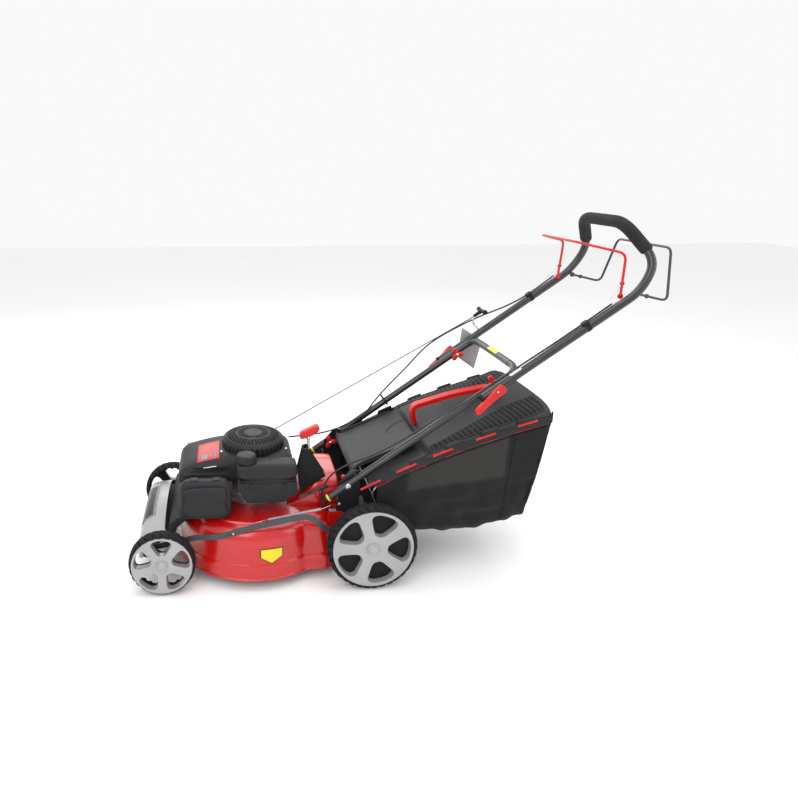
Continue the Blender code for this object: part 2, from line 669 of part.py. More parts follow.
def windows(radius, count=5, steps=2):
    """Rounded triangular openings between the spokes, as (x, z) outlines round the wheel's axis."""
    near = HUB_R + 0.010
    far = radius - 0.012
    outlines = []
    for k in range(count):
        middle = 2 * math.pi * k / count + math.pi / 2
        spread_far = 0.40
        points = []
        for i in range(steps + 1):
            angle = middle - spread_far + 2 * spread_far * i / steps
            points.append((far * math.cos(angle), far * math.sin(angle)))
        for angle, reach in ((middle + 0.34, 0.66), (middle + 0.20, 0.0), (middle - 0.20, 0.0),
                             (middle - 0.34, 0.66)):
            distance = near + (far - near) * reach
            points.append((distance * math.cos(angle), distance * math.sin(angle)))
        outlines.append(points)
    return outlines


def wheel(radius, cover_radius, face, axis_point, through):
    """Moulded wheel on the -Y side: tread ring, web and hub; `through` opens windows in the web."""
    x, _, z = axis_point
    outer = -face
    inner = outer + TREAD
    edge = 0.006
    profile = [(radius - edge, outer), (radius, outer + edge), (radius, inner - edge),
               (radius - edge, inner),
               (cover_radius, inner), (cover_radius - 0.004, outer + 0.026), (HUB_R, outer + 0.026),
               (HUB_R, inner), (SPINDLE_R + FIT, inner), (SPINDLE_R + FIT, outer + 0.014),
               (HUB_R, outer + 0.014),
               (HUB_R + 0.004, outer + 0.020), (cover_radius, outer + 0.020), (cover_radius + 0.0015, outer)]
    body = turned(profile, (x, 0, z), "Y", ROUND)
    if not through:
        return body
    cuts = [moved(prism(o, outer - 0.010, inner + 0.010), (x, 0, z)) for o in windows(cover_radius)]
    return without(body, *cuts)


def wheel_cover(cover_radius, face, axis_point):
    """Bright five-window disc, pressed into the wheel's outer face."""
    x, _, z = axis_point
    outer = -face
    rim = cover_radius - GAP
    profile = [(0, outer - 0.001), (HUB_R - 0.002, outer - 0.001), (HUB_R + 0.002, outer + 0.001),
               (rim * 0.72, outer + 0.003), (rim, outer - 0.001), (rim, outer + 0.012),
               (HUB_R + 0.004, outer + 0.012), (HUB_R - 0.002, outer + 0.010), (0, outer + 0.010)]
    body = turned(profile, (x, 0, z), "Y", ROUND)
    cuts = [moved(prism(o, outer - 0.010, outer + 0.020), (x, 0, z)) for o in windows(cover_radius)]
    return without(body, *cuts)


# ---------------------------------------------------------------- running gear


def crank_plate(pivot, wheel_at, inner):
    """Flat crank from the swing pivot to the wheel's spindle, with an ear up to the link bar's pin."""
    top = pivot + LINK_PIN
    r = 0.012
    outline = [(pivot.x - r, pivot.z - r), (wheel_at.x, wheel_at.z - r),
               (wheel_at.x + r, wheel_at.z - r / 2),
               (wheel_at.x + r, wheel_at.z + r / 2), (wheel_at.x, wheel_at.z + r),
               (top.x + r, top.z + 0.002),
               (top.x + r / 2, top.z + 0.009), (top.x - r / 2, top.z + 0.009), (pivot.x - r, pivot.z + r)]
    return prism(outline, -inner - PLATE, -inner)


def swing_frame(pivot, wheel_at, inner, spindle_end):
    """Cross rod with a crank at each end; the near crank carries the link bar's pin."""
    rod_bar = cylinder((pivot.x, -inner - PLATE / 2, pivot.z), SWING_ROD_R, 2 * inner + PLATE, "Y", 16)
    parts = [rod_bar]
    for side in (-1, 1):
        parts.append(on_side(crank_plate(pivot, wheel_at, inner), side))
    pin_at = pivot + LINK_PIN
    parts.append(cylinder((pin_at.x, -inner - PLATE - 0.005, pin_at.z), 0.004, 0.007, "Y", 12))
    if spindle_end is None:
        bore = cylinder((wheel_at.x, -inner - 0.020, wheel_at.z), SPINDLE_R + FIT, 2 * inner + 0.040, "Y",
                        16)
        return without(joined(*parts), bore)
    for side in (-1, 1):
        start = cylinder((wheel_at.x, -spindle_end, wheel_at.z), SPINDLE_R, spindle_end - inner - PLATE / 2,
                         "Y", 16)
        parts.append(on_side(start, side))
    return joined(*parts)


def drive_shaft():
    end = REAR_FACE - 0.016
    return cylinder((REAR_X, -end, REAR_WHEEL_R), SPINDLE_R, 2 * end, "Y", 16)


def gearbox():
    """Two-part casting round the drive shaft, with an input boss on top."""
    low = (REAR_X - 0.032, -0.052, REAR_WHEEL_R - 0.032)
    high = (REAR_X + 0.032, 0.030, REAR_WHEEL_R + 0.022)
    case = softened(block(low, high), 0.008)
    boss = cylinder((REAR_X - 0.006, -0.010, REAR_WHEEL_R + 0.016), 0.012, 0.018, "Z", 12)
    bore = cylinder((REAR_X, -0.080, REAR_WHEEL_R), SPINDLE_R + FIT, 0.160, "Y", 16)
    return without(joined(case, boss), bore)


def link_bar():
    """Flat bar from the front crank to the rear crank, arched over the deck's side."""
    front = FRONT_SWING + LINK_PIN
    rear = REAR_SWING + LINK_PIN
    inside_front = -FRONT_CRANK - PLATE - GAP - 0.0015
    inside_rear = -REAR_CRANK - PLATE - GAP - 0.0015
    outside = -CUT_RADIUS + 0.018
    points = [(front.x - 0.012, inside_front, front.z), (front.x + 0.030, inside_front, front.z),
              (SPINDLE_X - 0.182, inside_front, 0.164), (SPINDLE_X - 0.120, outside, 0.176),
              (SPINDLE_X - 0.021, outside, 0.204), (SPINDLE_X + 0.116, outside, 0.232),
              (SPINDLE_X + 0.160, outside, 0.236), (SPINDLE_X + 0.190, outside, 0.216),
              (SPINDLE_X + 0.209, inside_rear, 0.184), (rear.x - 0.045, inside_rear, rear.z),
              (rear.x + 0.012, inside_rear, rear.z)]
    path = rounded(points, 0.025, 3)
    bar = sweep(path, [(-0.009, -0.0015), (0.009, -0.0015), (0.009, 0.0015), (-0.009, 0.0015)], level=True)
    holes = []
    for x, y, z in ((front.x, inside_front, front.z), (rear.x, inside_rear, rear.z)):
        holes.append(cylinder((x, y - 0.010, z), 0.004 + FIT, 0.020, "Y", 12))
    return without(bar, *holes)


def helper_spring():
    """Envelope of the coil spring that balances the deck, with its two drawn-out hooks."""
    y = -CUT_RADIUS + 0.0275
    start = Vector((SPINDLE_X - 0.006, y, 0.216))
    coil_start = Vector((SPINDLE_X + 0.032, y, 0.224))
    coil_end = Vector((SPINDLE_X + 0.160, y, 0.248))
    end = Vector((SPINDLE_X + 0.226, y + 0.006, 0.262))
    path = [start, coil_start, coil_start + Vector((0.002, 0, 0)), coil_end,
            coil_end + Vector((0.002, 0, 0)), end]
    mesh = bmesh.new()
    rings = []
    for point, radius in zip(path, (0.0015, 0.0015, 0.005, 0.005, 0.0015, 0.0015)):
        rings.append([mesh.verts.new(point + Vector((0, a, b))) for a, b in circle(radius, 8)])
    mesh.faces.new(rings[0])
    mesh.faces.new(rings[-1][::-1])
    bridge(mesh, rings)
    bmesh.ops.recalc_face_normals(mesh, faces=mesh.faces[:])
    return mesh


# ---------------------------------------------------------------- height lever


def height_lever():
    stem = rod([LEVER_PIVOT + Vector((0, 0, 0.004)), LEVER_TOP], 0.0045, 8)
    eye = cylinder(LEVER_PIVOT - Vector((0, 0.005, 0)), 0.010, 0.010, "Y", 12)
    grip = softened(block((-0.033, -0.013, -0.013), (0.033, 0.013, 0.014)), 0.004)
    bmesh.ops.rotate(grip, verts=grip.verts[:], cent=(0, 0, 0),
                     matrix=Matrix.Rotation(math.radians(-21), 3, "Y"))
    return joined(stem, eye, moved(grip, LEVER_TOP + Vector((0.002, 0, 0.012))))


def lever_cover():
    """Moulded fin, open above and behind, in which the lever swings."""
    x = DECK_REAR_X - 0.113
    outline = [(x, 0.262), (x - 0.006, 0.330), (x + 0.010, 0.400), (x + 0.024, 0.404), (x + 0.074, 0.322),
               (x + 0.082, 0.310), (x + 0.082, HUMP_TOP_Z + GAP), (x + 0.012, 0.262)]
    body = prism(outline, LEVER_Y - 0.020, LEVER_Y + 0.020)
    slot = [(x + 0.006, 0.290), (x + 0.002, 0.330), (x + 0.016, 0.420), (x + 0.130, 0.420),
            (x + 0.130, 0.290)]
    return without(body, prism(slot, LEVER_Y - 0.012, LEVER_Y + 0.012))


# ---------------------------------------------------------------- rear end
def bracket():
    """Side plate behind the deck: handle bolt, flap rod and swing rod pass through it."""
    front = DECK_REAR_X + GAP
    outline = [(front, 0.085), (REAR_SWING.x + 0.020, 0.110), (REAR_SWING.x + 0.024, REAR_SWING.z + 0.024),
               (FLAP_ROD.x + 0.016, FLAP_ROD.z - 0.060), (FLAP_ROD.x + 0.016, FLAP_ROD.z + 0.012),
               (FLAP_ROD.x - 0.010, FLAP_ROD.z + 0.018), (LOWER_BOLT.x - 0.022, LOWER_BOLT.z + 0.004),
               (front, 0.255)]
    plate = prism(outline, -BRACKET_HALF, -BRACKET_HALF + PLATE)
    flange = block((front, -BRACKET_HALF, 0.085), (front + PLATE, -BRACKET_HALF + 0.026, 0.250))
    cuts = []
    for place, radius in ((LOWER_BOLT, BOLT_R + FIT), (FLAP_ROD, FLAP_ROD_R + FIT),
                          (REAR_SWING, SWING_ROD_R + FIT)):
        cuts.append(cylinder((place.x, -BRACKET_HALF - 0.010, place.z), radius, 0.030, "Y", 16))
    return without(joined(plate, flange), *cuts)


def flap_rod():
    return cylinder((FLAP_ROD.x, -BRACKET_HALF, FLAP_ROD.z), FLAP_ROD_R, 2 * BRACKET_HALF, "Y", 12)


def along_flap(distance, height):
    """A point in side view, measured along the flap from the rod and square to it."""
    x = FLAP_ROD.x + distance * math.cos(FLAP_SLOPE) - height * math.sin(FLAP_SLOPE)
    return x, FLAP_ROD.z + distance * math.sin(FLAP_SLOPE) + height * math.cos(FLAP_SLOPE)


def rear_flap():
    """Deflector over the passage's mouth: a plate with a hinge barrel and two side ribs."""
    barrel = cylinder((FLAP_ROD.x, -FLAP_HALF, FLAP_ROD.z), 0.010, 2 * FLAP_HALF, "Y", 16)
    sheet = prism([along_flap(0, 0.004), along_flap(FLAP_LENGTH, 0.004), along_flap(FLAP_LENGTH, 0.008),
                   along_flap(0, 0.008)], -FLAP_HALF, FLAP_HALF)
    rib = [along_flap(0.004, 0.006), along_flap(0.060, 0.006), along_flap(0.215, 0.006),
           along_flap(0.190, 0.016),
           along_flap(0.040, 0.018)]
    ribs = [prism(rib, s * (FLAP_HALF - 0.004) - 0.002, s * (FLAP_HALF - 0.004) + 0.002) for s in (-1, 1)]
    bore = cylinder((FLAP_ROD.x, -FLAP_HALF - 0.010, FLAP_ROD.z), FLAP_ROD_R + FIT, 2 * FLAP_HALF + 0.020,
                    "Y", 12)
    return without(joined(barrel, sheet, *ribs), bore)


def rear_skirt():
    """Hanging guard under the passage, between the brackets."""
    x = DECK_REAR_X + PLATE + 2 * GAP
    half = BRACKET_HALF - PLATE - 0.001
    profile = [(x, 0.040), (x + 0.003, 0.040), (x + 0.006, 0.090), (x + 0.003, 0.090)]
    return prism(profile, -half, half)


# ---------------------------------------------------------------- grass bag


def lid_edge_z(t):
    """Height of the lid's lower edge at t = 0 (front) to 1 (rear): steep, then flatter."""
    return 0.312 + 0.292 * t - 0.080 * t * t


def lid_top_z(t):
    """Height of the lid's centre line: below the flap and parallel to it, then a step up."""
    x = t * BAG_LENGTH + BAG_FRONT_X - FLAP_ROD.x
    step = 0.018 * min(1, max(0, (t - LID_STEP_T) / 0.025))
    level_off = 0.050 * max(0, t - 0.5)
    return FLAP_ROD.z + x * math.tan(FLAP_SLOPE) - 0.020 + step - level_off


def lid_row(t, drop=0.0, back=0.0):
    """One cross-section of the lid; `drop` lowers it towards its edge for the rear wall."""
    x = BAG_FRONT_X + BAG_LENGTH * t + back
    edge = lid_edge_z(t)
    top = lid_top_z(t)
    row = []
    for share, rise in ((-1, 0), (-0.995, 0.28), (-0.955, 0.66), (-0.85, 0.84), (-0.5, 0.96), (0, 1),
                        (0.5, 0.96), (0.85, 0.84), (0.955, 0.66), (0.995, 0.28), (1, 0)):
        round_back = 0.020 * abs(share) ** 6 if t > 0.9 else 0
        row.append((x - round_back, BAG_HALF * share, edge + (top - edge) * rise * (1 - drop)))
    return row


def bag_lid():
    rows = [lid_row(t) for t in (0, 0.15, LID_STEP_T, LID_STEP_T + 0.025, 0.50, 0.68, 0.84, 0.95)]
    rows += [lid_row(1, 0.12, -0.004), lid_row(1, 0.5, 0.006), lid_row(1, 1.0, 0.010)]
    return shell(rows, 0.0035)


def bag_handle():
    """Arched grip on the lid's centre line; its feet stand on the lid."""
    t_low = 0.365
    t_high = 0.815
    low = Vector((BAG_FRONT_X + BAG_LENGTH * t_low, 0, lid_top_z(t_low) + 0.010))
    high = Vector((BAG_FRONT_X + BAG_LENGTH * t_high, 0, lid_top_z(t_high) + 0.010))
    path = rounded([low, low + Vector((-0.012, 0, 0.052)), low + Vector((0.120, 0, 0.092)),
                    high + Vector((-0.020, 0, 0.018)), high], 0.040, 4)
    return sweep(path, [(-0.007, -0.014), (0.007, -0.014), (0.007, 0.014), (-0.007, 0.014)])


def bag_frame():
    """Bent wire frame inside the lid's edge, with a mouth bow down to the bag's bottom lip."""
    half = BAG_HALF - 0.016
    bow = []
    for side in (-1, 1):
        line = [(BAG_FRONT_X + BAG_LENGTH * t, side * half, lid_edge_z(t) + 0.004) for t in (0.950, 0.70,
                                                                                             0.40, 0.10)]
        bow.append(line + [(BAG_FRONT_X + 0.012, side * half, lid_edge_z(0) - 0.020),
                           (BAG_FRONT_X + 0.048, side * (half - 0.030), 0.214)])
    path = rounded(bow[0] + bow[1][::-1], 0.030, 2)
    return rod(path, 0.004, 6)


def bag_fabric():
    """Open-topped sack: sides hang from the frame, the bottom sags, the rear wall leans in."""
    rows = []
    for t in (0.06, 0.20, 0.40, 0.60, 0.80, 0.96):
        low = 0.196 - 0.044 * math.sin(math.pi * (0.15 + t * 0.75)) + 0.040 * max(0, t - 0.6)
        rows.append(sack_row(t, low))
    floor = 0.175
    for lift in (0.10, 0.45, 1.0):
        rows.append(sack_row(0.985, floor + (lid_edge_z(1) - 0.008 - floor) * lift))
    return shell(rows, 0.0025)


def sack_row(t, low):
    """One cross-section of the sack; the deeper it hangs, the more the rear leans forward."""
    half = BAG_HALF - 0.006
    top = lid_edge_z(min(t, 1)) - 0.006
    row = []
    for share, depth in ((-1, 0), (-0.985, 0.45), (-0.95, 0.85), (-0.80, 0.97), (-0.4, 1.0), (0, 1.02),
                         (0.4, 1.0), (0.80, 0.97), (0.95, 0.85), (0.985, 0.45), (1, 0)):
        z = top + (low - top) * depth
        lean = BAG_REAR_LEAN * t ** 4 * (lid_edge_z(1) - z)
        row.append((BAG_FRONT_X + BAG_LENGTH * t - lean, half * share, z))
    return row


# ---------------------------------------------------------------- handle


def lower_handle():
    """Hoop of tube: two legs from the deck and a crossbar above the bag."""
    foot = LOWER_BOLT - ALONG * 0.088
    shoulder = LOWER_BOLT + ALONG * (CROSSBAR_REACH - 0.020)
    bar = LOWER_BOLT + ALONG * CROSSBAR_REACH
    near = [Vector((p.x, -LOWER_HALF, p.z)) for p in (foot, shoulder)]
    near.append(Vector((bar.x, -LOWER_HALF + 0.034, bar.z)))
    far = [Vector((p.x, -p.y, p.z)) for p in near[::-1]]
    hoop = pipe(rounded(near + far, 0.030, 3), LOWER_TUBE_R, TUBE_WALL, 8)
    return without(hoop, *bolt_cuts((LOWER_BOLT, HANDLE_JOINT)))


def bolt_cuts(places):
    reach = HANDLE_HALF + 0.040
    return [cylinder((p.x, -reach, p.z), BOLT_R + FIT, 2 * reach, "Y", 8) for p in places]


def upper_path():
    """Axis of the upper handle from its near foot to the middle of the top bar."""
    foot = HANDLE_JOINT - ALONG * 0.062
    low = HANDLE_BEND + GRIP_LOW
    top = HANDLE_BEND + GRIP_TOP
    return [Vector((foot.x, -HANDLE_HALF, foot.z)), Vector((HANDLE_BEND.x, -HANDLE_HALF, HANDLE_BEND.z)),
            Vector((low.x, -GRIP_LOW_HALF, low.z)), Vector((top.x, -GRIP_TOP_HALF, top.z))]


def across(path):
    """The near half of a hoop, carried on to the far side."""
    return list(path) + [Vector((p.x, -p.y, p.z)) for p in path[::-1]]


def upper_hoop():
    return rounded(across(upper_path()), 0.045, ARC_STEPS)


def upper_handle():
    hoop = pipe(upper_hoop(), TUBE_R, TUBE_WALL, 10)
    return without(hoop, *bolt_cuts((HANDLE_JOINT,)))


def grip_foam():
    """Foam sleeve round the top of the handle, from past its second bend to the same place opposite."""
    per_bend = ARC_STEPS + 1
    path = upper_hoop()[2 * per_bend:1 + 4 * per_bend + 1]
    return pipe(path, TUBE_R + 0.006, 0.005, 10)


def brake_bail():
    """Stop bar: two arms rise from the tube and carry a forward bow."""
    at = BRAKE_PIVOT
    near = [Vector((at.x, -BAIL_HALF, at.z)), Vector((at.x + 0.006, -0.181, at.z + 0.126)),
            Vector((at.x - 0.108, -0.116, at.z + 0.153))]
    return rod(rounded(across(near), 0.022, 3), BAIL_R, 6)


def drive_bail():
    """Drive bar: two arms leave the tube rearwards and rise to a bow behind the grip."""
    at = DRIVE_PIVOT
    near = [Vector((at.x, -BAIL_HALF, at.z)), Vector((at.x + 0.100, -0.179, at.z - 0.024)),
            Vector((at.x + 0.121, -0.136, at.z + 0.130))]
    return rod(rounded(across(near), 0.022, 3), BAIL_R, 6)


def cam_lever():
    """Quick-release lever beside the tube: a flat capsule that turns about a pin across it."""
    pin = HANDLE_JOINT + Vector((0, -HANDLE_HALF - TUBE_R - GAP - CAM_R, 0))
    outline = []
    for i in range(7):
        angle = math.pi / 2 + math.pi * i / 6
        outline.append((CAM_R * math.cos(angle), CAM_R * math.sin(angle)))
    outline += [(0.030, -CAM_R), (CAM_LENGTH - 0.006, -0.004), (CAM_LENGTH, 0), (CAM_LENGTH - 0.006, 0.004),
                (0.030, CAM_R)]
    mesh = prism(outline, -CAM_WIDTH / 2, CAM_WIDTH / 2, "Z")
    turn = Matrix((CAM_DIRECTION, (0, -1, 0), CAM_AXIS)).transposed()
    bmesh.ops.transform(mesh, matrix=turn.to_4x4(), verts=mesh.verts[:])
    bmesh.ops.recalc_face_normals(mesh, faces=mesh.faces[:])
    return softened(moved(mesh, pin), 0.0015, 1)


def star_knob(place, inner, tip):
    """Three-armed knob on the inner side, with its bolt through to `tip` on the outer side."""
    outline = []
    for i in range(18):
        angle = 2 * math.pi * i / 18
        reach = 0.017 + 0.008 * math.cos(3 * angle)
        outline.append((place.x + reach * math.cos(angle), place.z + reach * math.sin(angle)))
    arms = prism(outline, -inner + 0.004, -inner + 0.014)
    boss = cylinder((place.x, -inner, place.z), 0.009, 0.010, "Y", 12)
    bolt = cylinder((place.x, -tip, place.z), BOLT_R, tip - inner + 0.004, "Y", 12)
    return joined(arms, boss, bolt)


def lower_knob():
    inner = BRACKET_HALF - PLATE - GAP
    head_at = LOWER_HALF + LOWER_TUBE_R + GAP
    head = turned([(0, -head_at - 0.005), (0.006, -head_at - 0.0045), (0.010, -head_at - 0.001),
                   (0.010, -head_at),
                   (0, -head_at)], (LOWER_BOLT.x, 0, LOWER_BOLT.z), "Y", 14)
    return joined(star_knob(LOWER_BOLT, inner, head_at + 0.002), head)


def mid_knob():
    return star_knob(HANDLE_JOINT, LOWER_HALF - LOWER_TUBE_R - GAP, HANDLE_HALF + TUBE_R)


# ---------------------------------------------------------------- starter and cables


def rope_guide():
    """Loop of wire on the right-hand tube that keeps the starter handle within reach."""
    foot = GUIDE_AT + Vector((-math.sin(HANDLE_SLOPE), 0, math.cos(HANDLE_SLOPE))) * (TUBE_R + 0.0035)
    top = GRIP_AT - Vector((0, 0, 0.019))
    stalk = rod([foot, top - Vector((0, 0, 0.003))], 0.003, 8)
    ring = turned([(0.006 + 0.003 * math.cos(a), 0.003 * math.sin(a)) for a in
                   [2 * math.pi * i / 6 for i in range(6)]], top, "X", 12)
    return joined(stalk, ring)


def starter_handle():
    """T-shaped pull: a stem in line with the tube and a bar square to it."""
    bar = softened(block((0.026, -0.008, -0.034), (0.042, 0.008, 0.034)), 0.003)
    pull = joined(bar, cylinder((0, 0, 0), 0.006, 0.030, "X", 12))
    tilt = Matrix.Rotation(-HANDLE_SLOPE, 3, "Y")
    bmesh.ops.rotate(pull, verts=pull.verts[:], cent=(0, 0, 0), matrix=tilt)
    return moved(pull, GRIP_AT)


def starter_rope():
    """Straight run from the starter housing to the pull."""
    outward = Vector((0.6, 0.8, 0)).normalized()
    start = Vector((SPINDLE_X, 0, ROPE_EXIT.z)) + outward * (DOME_R + GAP * 4)
    end = GRIP_AT - ALONG * 0.003
    return rod([start, start.lerp(end, 0.5), end], ROPE_R, 6)


def smooth_path(points, step):
    """Points along a smooth curve (Catmull-Rom) through a route, about `step` apart."""
    points = [Vector(p) for p in points]
    padded = [2 * points[0] - points[1]] + points + [2 * points[-1] - points[-2]]
    path = []
    for a, b, c, d in zip(padded, padded[1:], padded[2:], padded[3:]):
        count = max(1, round((c - b).length / step))
        for i in range(count):
            t = i / count
            path.append(0.5 * (2 * b + (c - a) * t + (2 * a - 5 * b + 4 * c - d) * t ** 2
                               + (3 * b - a - 3 * c + d) * t ** 3))
    return path + [points[-1]]


def beside_tube(side, distance, above, inboard=0.0):
    """A point over a handle tube, `distance` up the slope from the lower bolt."""
    point = LOWER_BOLT + ALONG * distance
    return (point.x - math.sin(HANDLE_SLOPE) * above, side * (HANDLE_HALF - inboard),
            point.z + math.cos(HANDLE_SLOPE) * above)


def brake_cable():
    """From the stop bar down the right-hand tube, then over to the engine."""
    near_tube = TUBE_R + CABLE_R + 0.002
    route = [beside_tube(1, 0.985, near_tube + 0.004, 0.006), beside_tube(1, 0.880, near_tube, 0.002),
             beside_tube(1, 0.795, near_tube + 0.010, 0.004), beside_tube(1, 0.660, 0.050, -0.018),
             beside_tube(1, 0.500, 0.070, -0.008), beside_tube(1, 0.370, 0.050, 0.004),
             beside_tube(1, 0.245, near_tube + 0.010, 0.014), (LOWER_BOLT.x + 0.122, 0.158, 0.412),
             (LOWER_BOLT.x + 0.077, 0.153, 0.386), (LOWER_BOLT.x + 0.020, 0.150, 0.360),
             (LOWER_BOLT.x - 0.050, 0.142, 0.346), (SPINDLE_X + 0.131, 0.128, 0.342)]
    return rod(smooth_path(route, 0.036), CABLE_R, 6)


def drive_cable():
    """From the drive bar down the left-hand tube, then behind the deck to the gearbox."""
    near_tube = TUBE_R + CABLE_R + 0.002
    route = [beside_tube(-1, 0.955, near_tube, 0.002), beside_tube(-1, 0.860, near_tube, 0),
             beside_tube(-1, 0.760, near_tube, 0), beside_tube(-1, 0.640, near_tube + 0.002, 0),
             beside_tube(-1, 0.540, near_tube + 0.004, 0), beside_tube(-1, 0.440, near_tube + 0.004, 0),
             beside_tube(-1, 0.330, near_tube + 0.006, 0.012),
             beside_tube(-1, 0.220, near_tube + 0.004, 0.026),
             (LOWER_BOLT.x + 0.080, -0.172, 0.404), (LOWER_BOLT.x + 0.010, -0.152, 0.366),
             (LOWER_BOLT.x - 0.045, -0.142, 0.325), (LOWER_BOLT.x - 0.072, -0.140, 0.270),
             (LOWER_BOLT.x - 0.076, -0.140, DECK_TOP_Z + 0.004)]
    return rod(smooth_path(route, 0.036), CABLE_R, 6)


# ---------------------------------------------------------------- the whole machine


def build_chassis(machine):
    machine.add("deck", deck(), "deck_red")
    machine.add("nose_housing", nose_housing(), "cover_black")
    machine.add("nose_cover", nose_cover(), "nose_silver")
    machine.add("lever_cover", lever_cover(), "cover_black")
    machine.add("flap_rod", flap_rod(), "steel")
    machine.add("rear_skirt", rear_skirt(), "cover_black")
    for name, side in SIDES:
        machine.add(f"bracket_{name}", on_side(bracket(), side), "deck_red")


def build_engine(machine):
    machine.add("engine_block", engine_block(), "cast_metal")
    machine.add("engine_shroud", engine_shroud(), "cover_black")
    machine.add("recoil_dome", recoil_dome(), "cover_black")
    machine.add("fuel_tank", fuel_tank(), "cover_black")
    machine.add("tank_skirt", tank_skirt(), "cover_black")
    machine.add("air_filter_base", air_filter_base(), "cover_black")
    machine.add("carburettor", carburettor(), "cast_metal")
    machine.add("muffler", muffler(), "cast_metal")
    machine.add("spark_plug_boot", spark_plug_boot(), "cable_black")
    machine.body("fuel_cap_axis", CAP_AT)
    machine.add("fuel_cap", fuel_cap(), "cover_black", "fuel_cap_axis")
    machine.body("oil_cap_axis", OIL_NECK)
    machine.add("oil_cap", oil_cap(), "cover_black", "oil_cap_axis")
    machine.body("filter_slide", (FILTER_LEFT, FILTER_JOIN, FILTER_LOW_Z))
    machine.add("air_filter_cover", air_filter_cover(), "cover_black", "filter_slide")
    machine.body("crank_axis", (SPINDLE_X, 0, BLADE_Z))
    machine.add("crankshaft", crankshaft(), "steel", "crank_axis")
    machine.add("flywheel", flywheel(), "cast_metal", "crank_axis")
    machine.add("blade", blade(), "steel", "crank_axis")
    machine.add("blade_bolt", blade_bolt(), "steel", "crank_axis")


def build_running_gear(machine):
    machine.body("front_swing", FRONT_SWING)
    front_frame = swing_frame(FRONT_SWING, FRONT_AXIS, FRONT_CRANK, FRONT_FACE - 0.016)
    machine.add("front_axle", front_frame, "link_grey", "front_swing")
    machine.body("rear_swing", REAR_SWING)
    rear_frame = swing_frame(REAR_SWING, REAR_AXIS, REAR_CRANK, None)
    machine.add("rear_axle", rear_frame, "link_grey", "rear_swing")
    machine.add("drive_shaft", drive_shaft(), "steel", "rear_swing")
    machine.add("gearbox", gearbox(), "cast_metal", "rear_swing")
    machine.body("link_pin", REAR_SWING + LINK_PIN, "rear_swing")
    machine.add("link_bar", link_bar(), "link_grey", "link_pin")
    machine.add("helper_spring", helper_spring(), "steel")
    machine.body("lever_axis", LEVER_PIVOT)
    machine.add("height_lever", height_lever(), "lever_red", "lever_axis")
    ends = (("front", FRONT_WHEEL_R, 0.0918, FRONT_FACE, FRONT_AXIS, True),
            ("rear", REAR_WHEEL_R, 0.1239, REAR_FACE, REAR_AXIS, False))
    for end, radius, cover_radius, face, axis, through in ends:
        for name, side in SIDES:
            pivot = f"{end}_{name}_wheel_axis"
            machine.body(pivot, axis, f"{end}_swing")
            tyre = on_side(wheel(radius, cover_radius, face, axis, through), side)
            machine.add(f"{end}_{name}_wheel", tyre, "tyre_black", pivot)
            cover = on_side(wheel_cover(cover_radius, face, axis), side)
            machine.add(f"{end}_{name}_wheel_cover", cover, "wheel_silver", pivot)


def build_bag(machine):
    machine.body("flap_axis", FLAP_ROD)
    machine.add("rear_flap", rear_flap(), "lid_grey", "flap_axis")
    machine.body("bag_slide", (BAG_FRONT_X, 0, lid_edge_z(0)))
    machine.add("bag_lid", bag_lid(), "lid_grey", "bag_slide")
    machine.add("bag_handle", bag_handle(), "lever_red", "bag_slide")
    machine.add("bag_frame", bag_frame(), "steel", "bag_slide")
    machine.add("bag_fabric", bag_fabric(), "bag_cloth", "bag_slide")


def build_handle(machine):
    machine.body("lower_fold", LOWER_BOLT)
    machine.add("lower_handle", lower_handle(), "tube_black", "lower_fold")
    machine.body("upper_fold", HANDLE_JOINT, "lower_fold")
    machine.add("upper_handle", upper_handle(), "tube_black", "upper_fold")
    machine.add("grip_foam", grip_foam(), "foam_black", "upper_fold")
    machine.add("rope_guide", rope_guide(), "steel", "upper_fold")
    machine.body("brake_bail_axis", BRAKE_PIVOT, "upper_fold")
    machine.add("brake_bail", brake_bail(), "lever_red", "brake_bail_axis")
    machine.body("drive_bail_axis", DRIVE_PIVOT, "upper_fold")
    machine.add("drive_bail", drive_bail(), "tube_black", "drive_bail_axis")
    machine.body("starter_slide", GRIP_AT, "upper_fold")
    machine.add("starter_handle", starter_handle(), "cover_black", "starter_slide")
    for name, side in SIDES:
        pin_y = side * (HANDLE_HALF + TUBE_R + GAP + CAM_R)
        machine.body(f"cam_{name}_pin", HANDLE_JOINT + Vector((0, pin_y, 0)), "upper_fold")
        machine.add(f"cam_lever_{name}", on_side(cam_lever(), side), "lever_red", f"cam_{name}_pin")
        machine.body(f"mid_knob_{name}_axis", HANDLE_JOINT, "lower_fold")
        machine.add(f"mid_knob_{name}", on_side(mid_knob(), side), "lever_red", f"mid_knob_{name}_axis")
        machine.body(f"lower_knob_{name}_axis", LOWER_BOLT)
        machine.add(f"lower_knob_{name}", on_side(lower_knob(), side), "lever_red",
                    f"lower_knob_{name}_axis")


def build_cables(machine):
    machine.add("starter_rope", starter_rope(), "cable_black")
    machine.add("brake_cable", brake_cable(), "cable_black")
    machine.add("drive_cable", drive_cable(), "cable_black")


def main():
    for left_over in list(bpy.data.objects):
        bpy.data.objects.remove(left_over)
    machine = Assembly()
    build_chassis(machine)
    build_engine(machine)
    build_running_gear(machine)
    build_bag(machine)
    build_handle(machine)
    build_cables(machine)


main()
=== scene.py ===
"""Looks of a petrol walk-behind rotary mower with a rear grass bag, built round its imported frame.

Shapes are worked out in metres from the front wheels' axis (+X to the handle, +Z up) and are moved
to the frame's place as each piece is made.
"""

import math

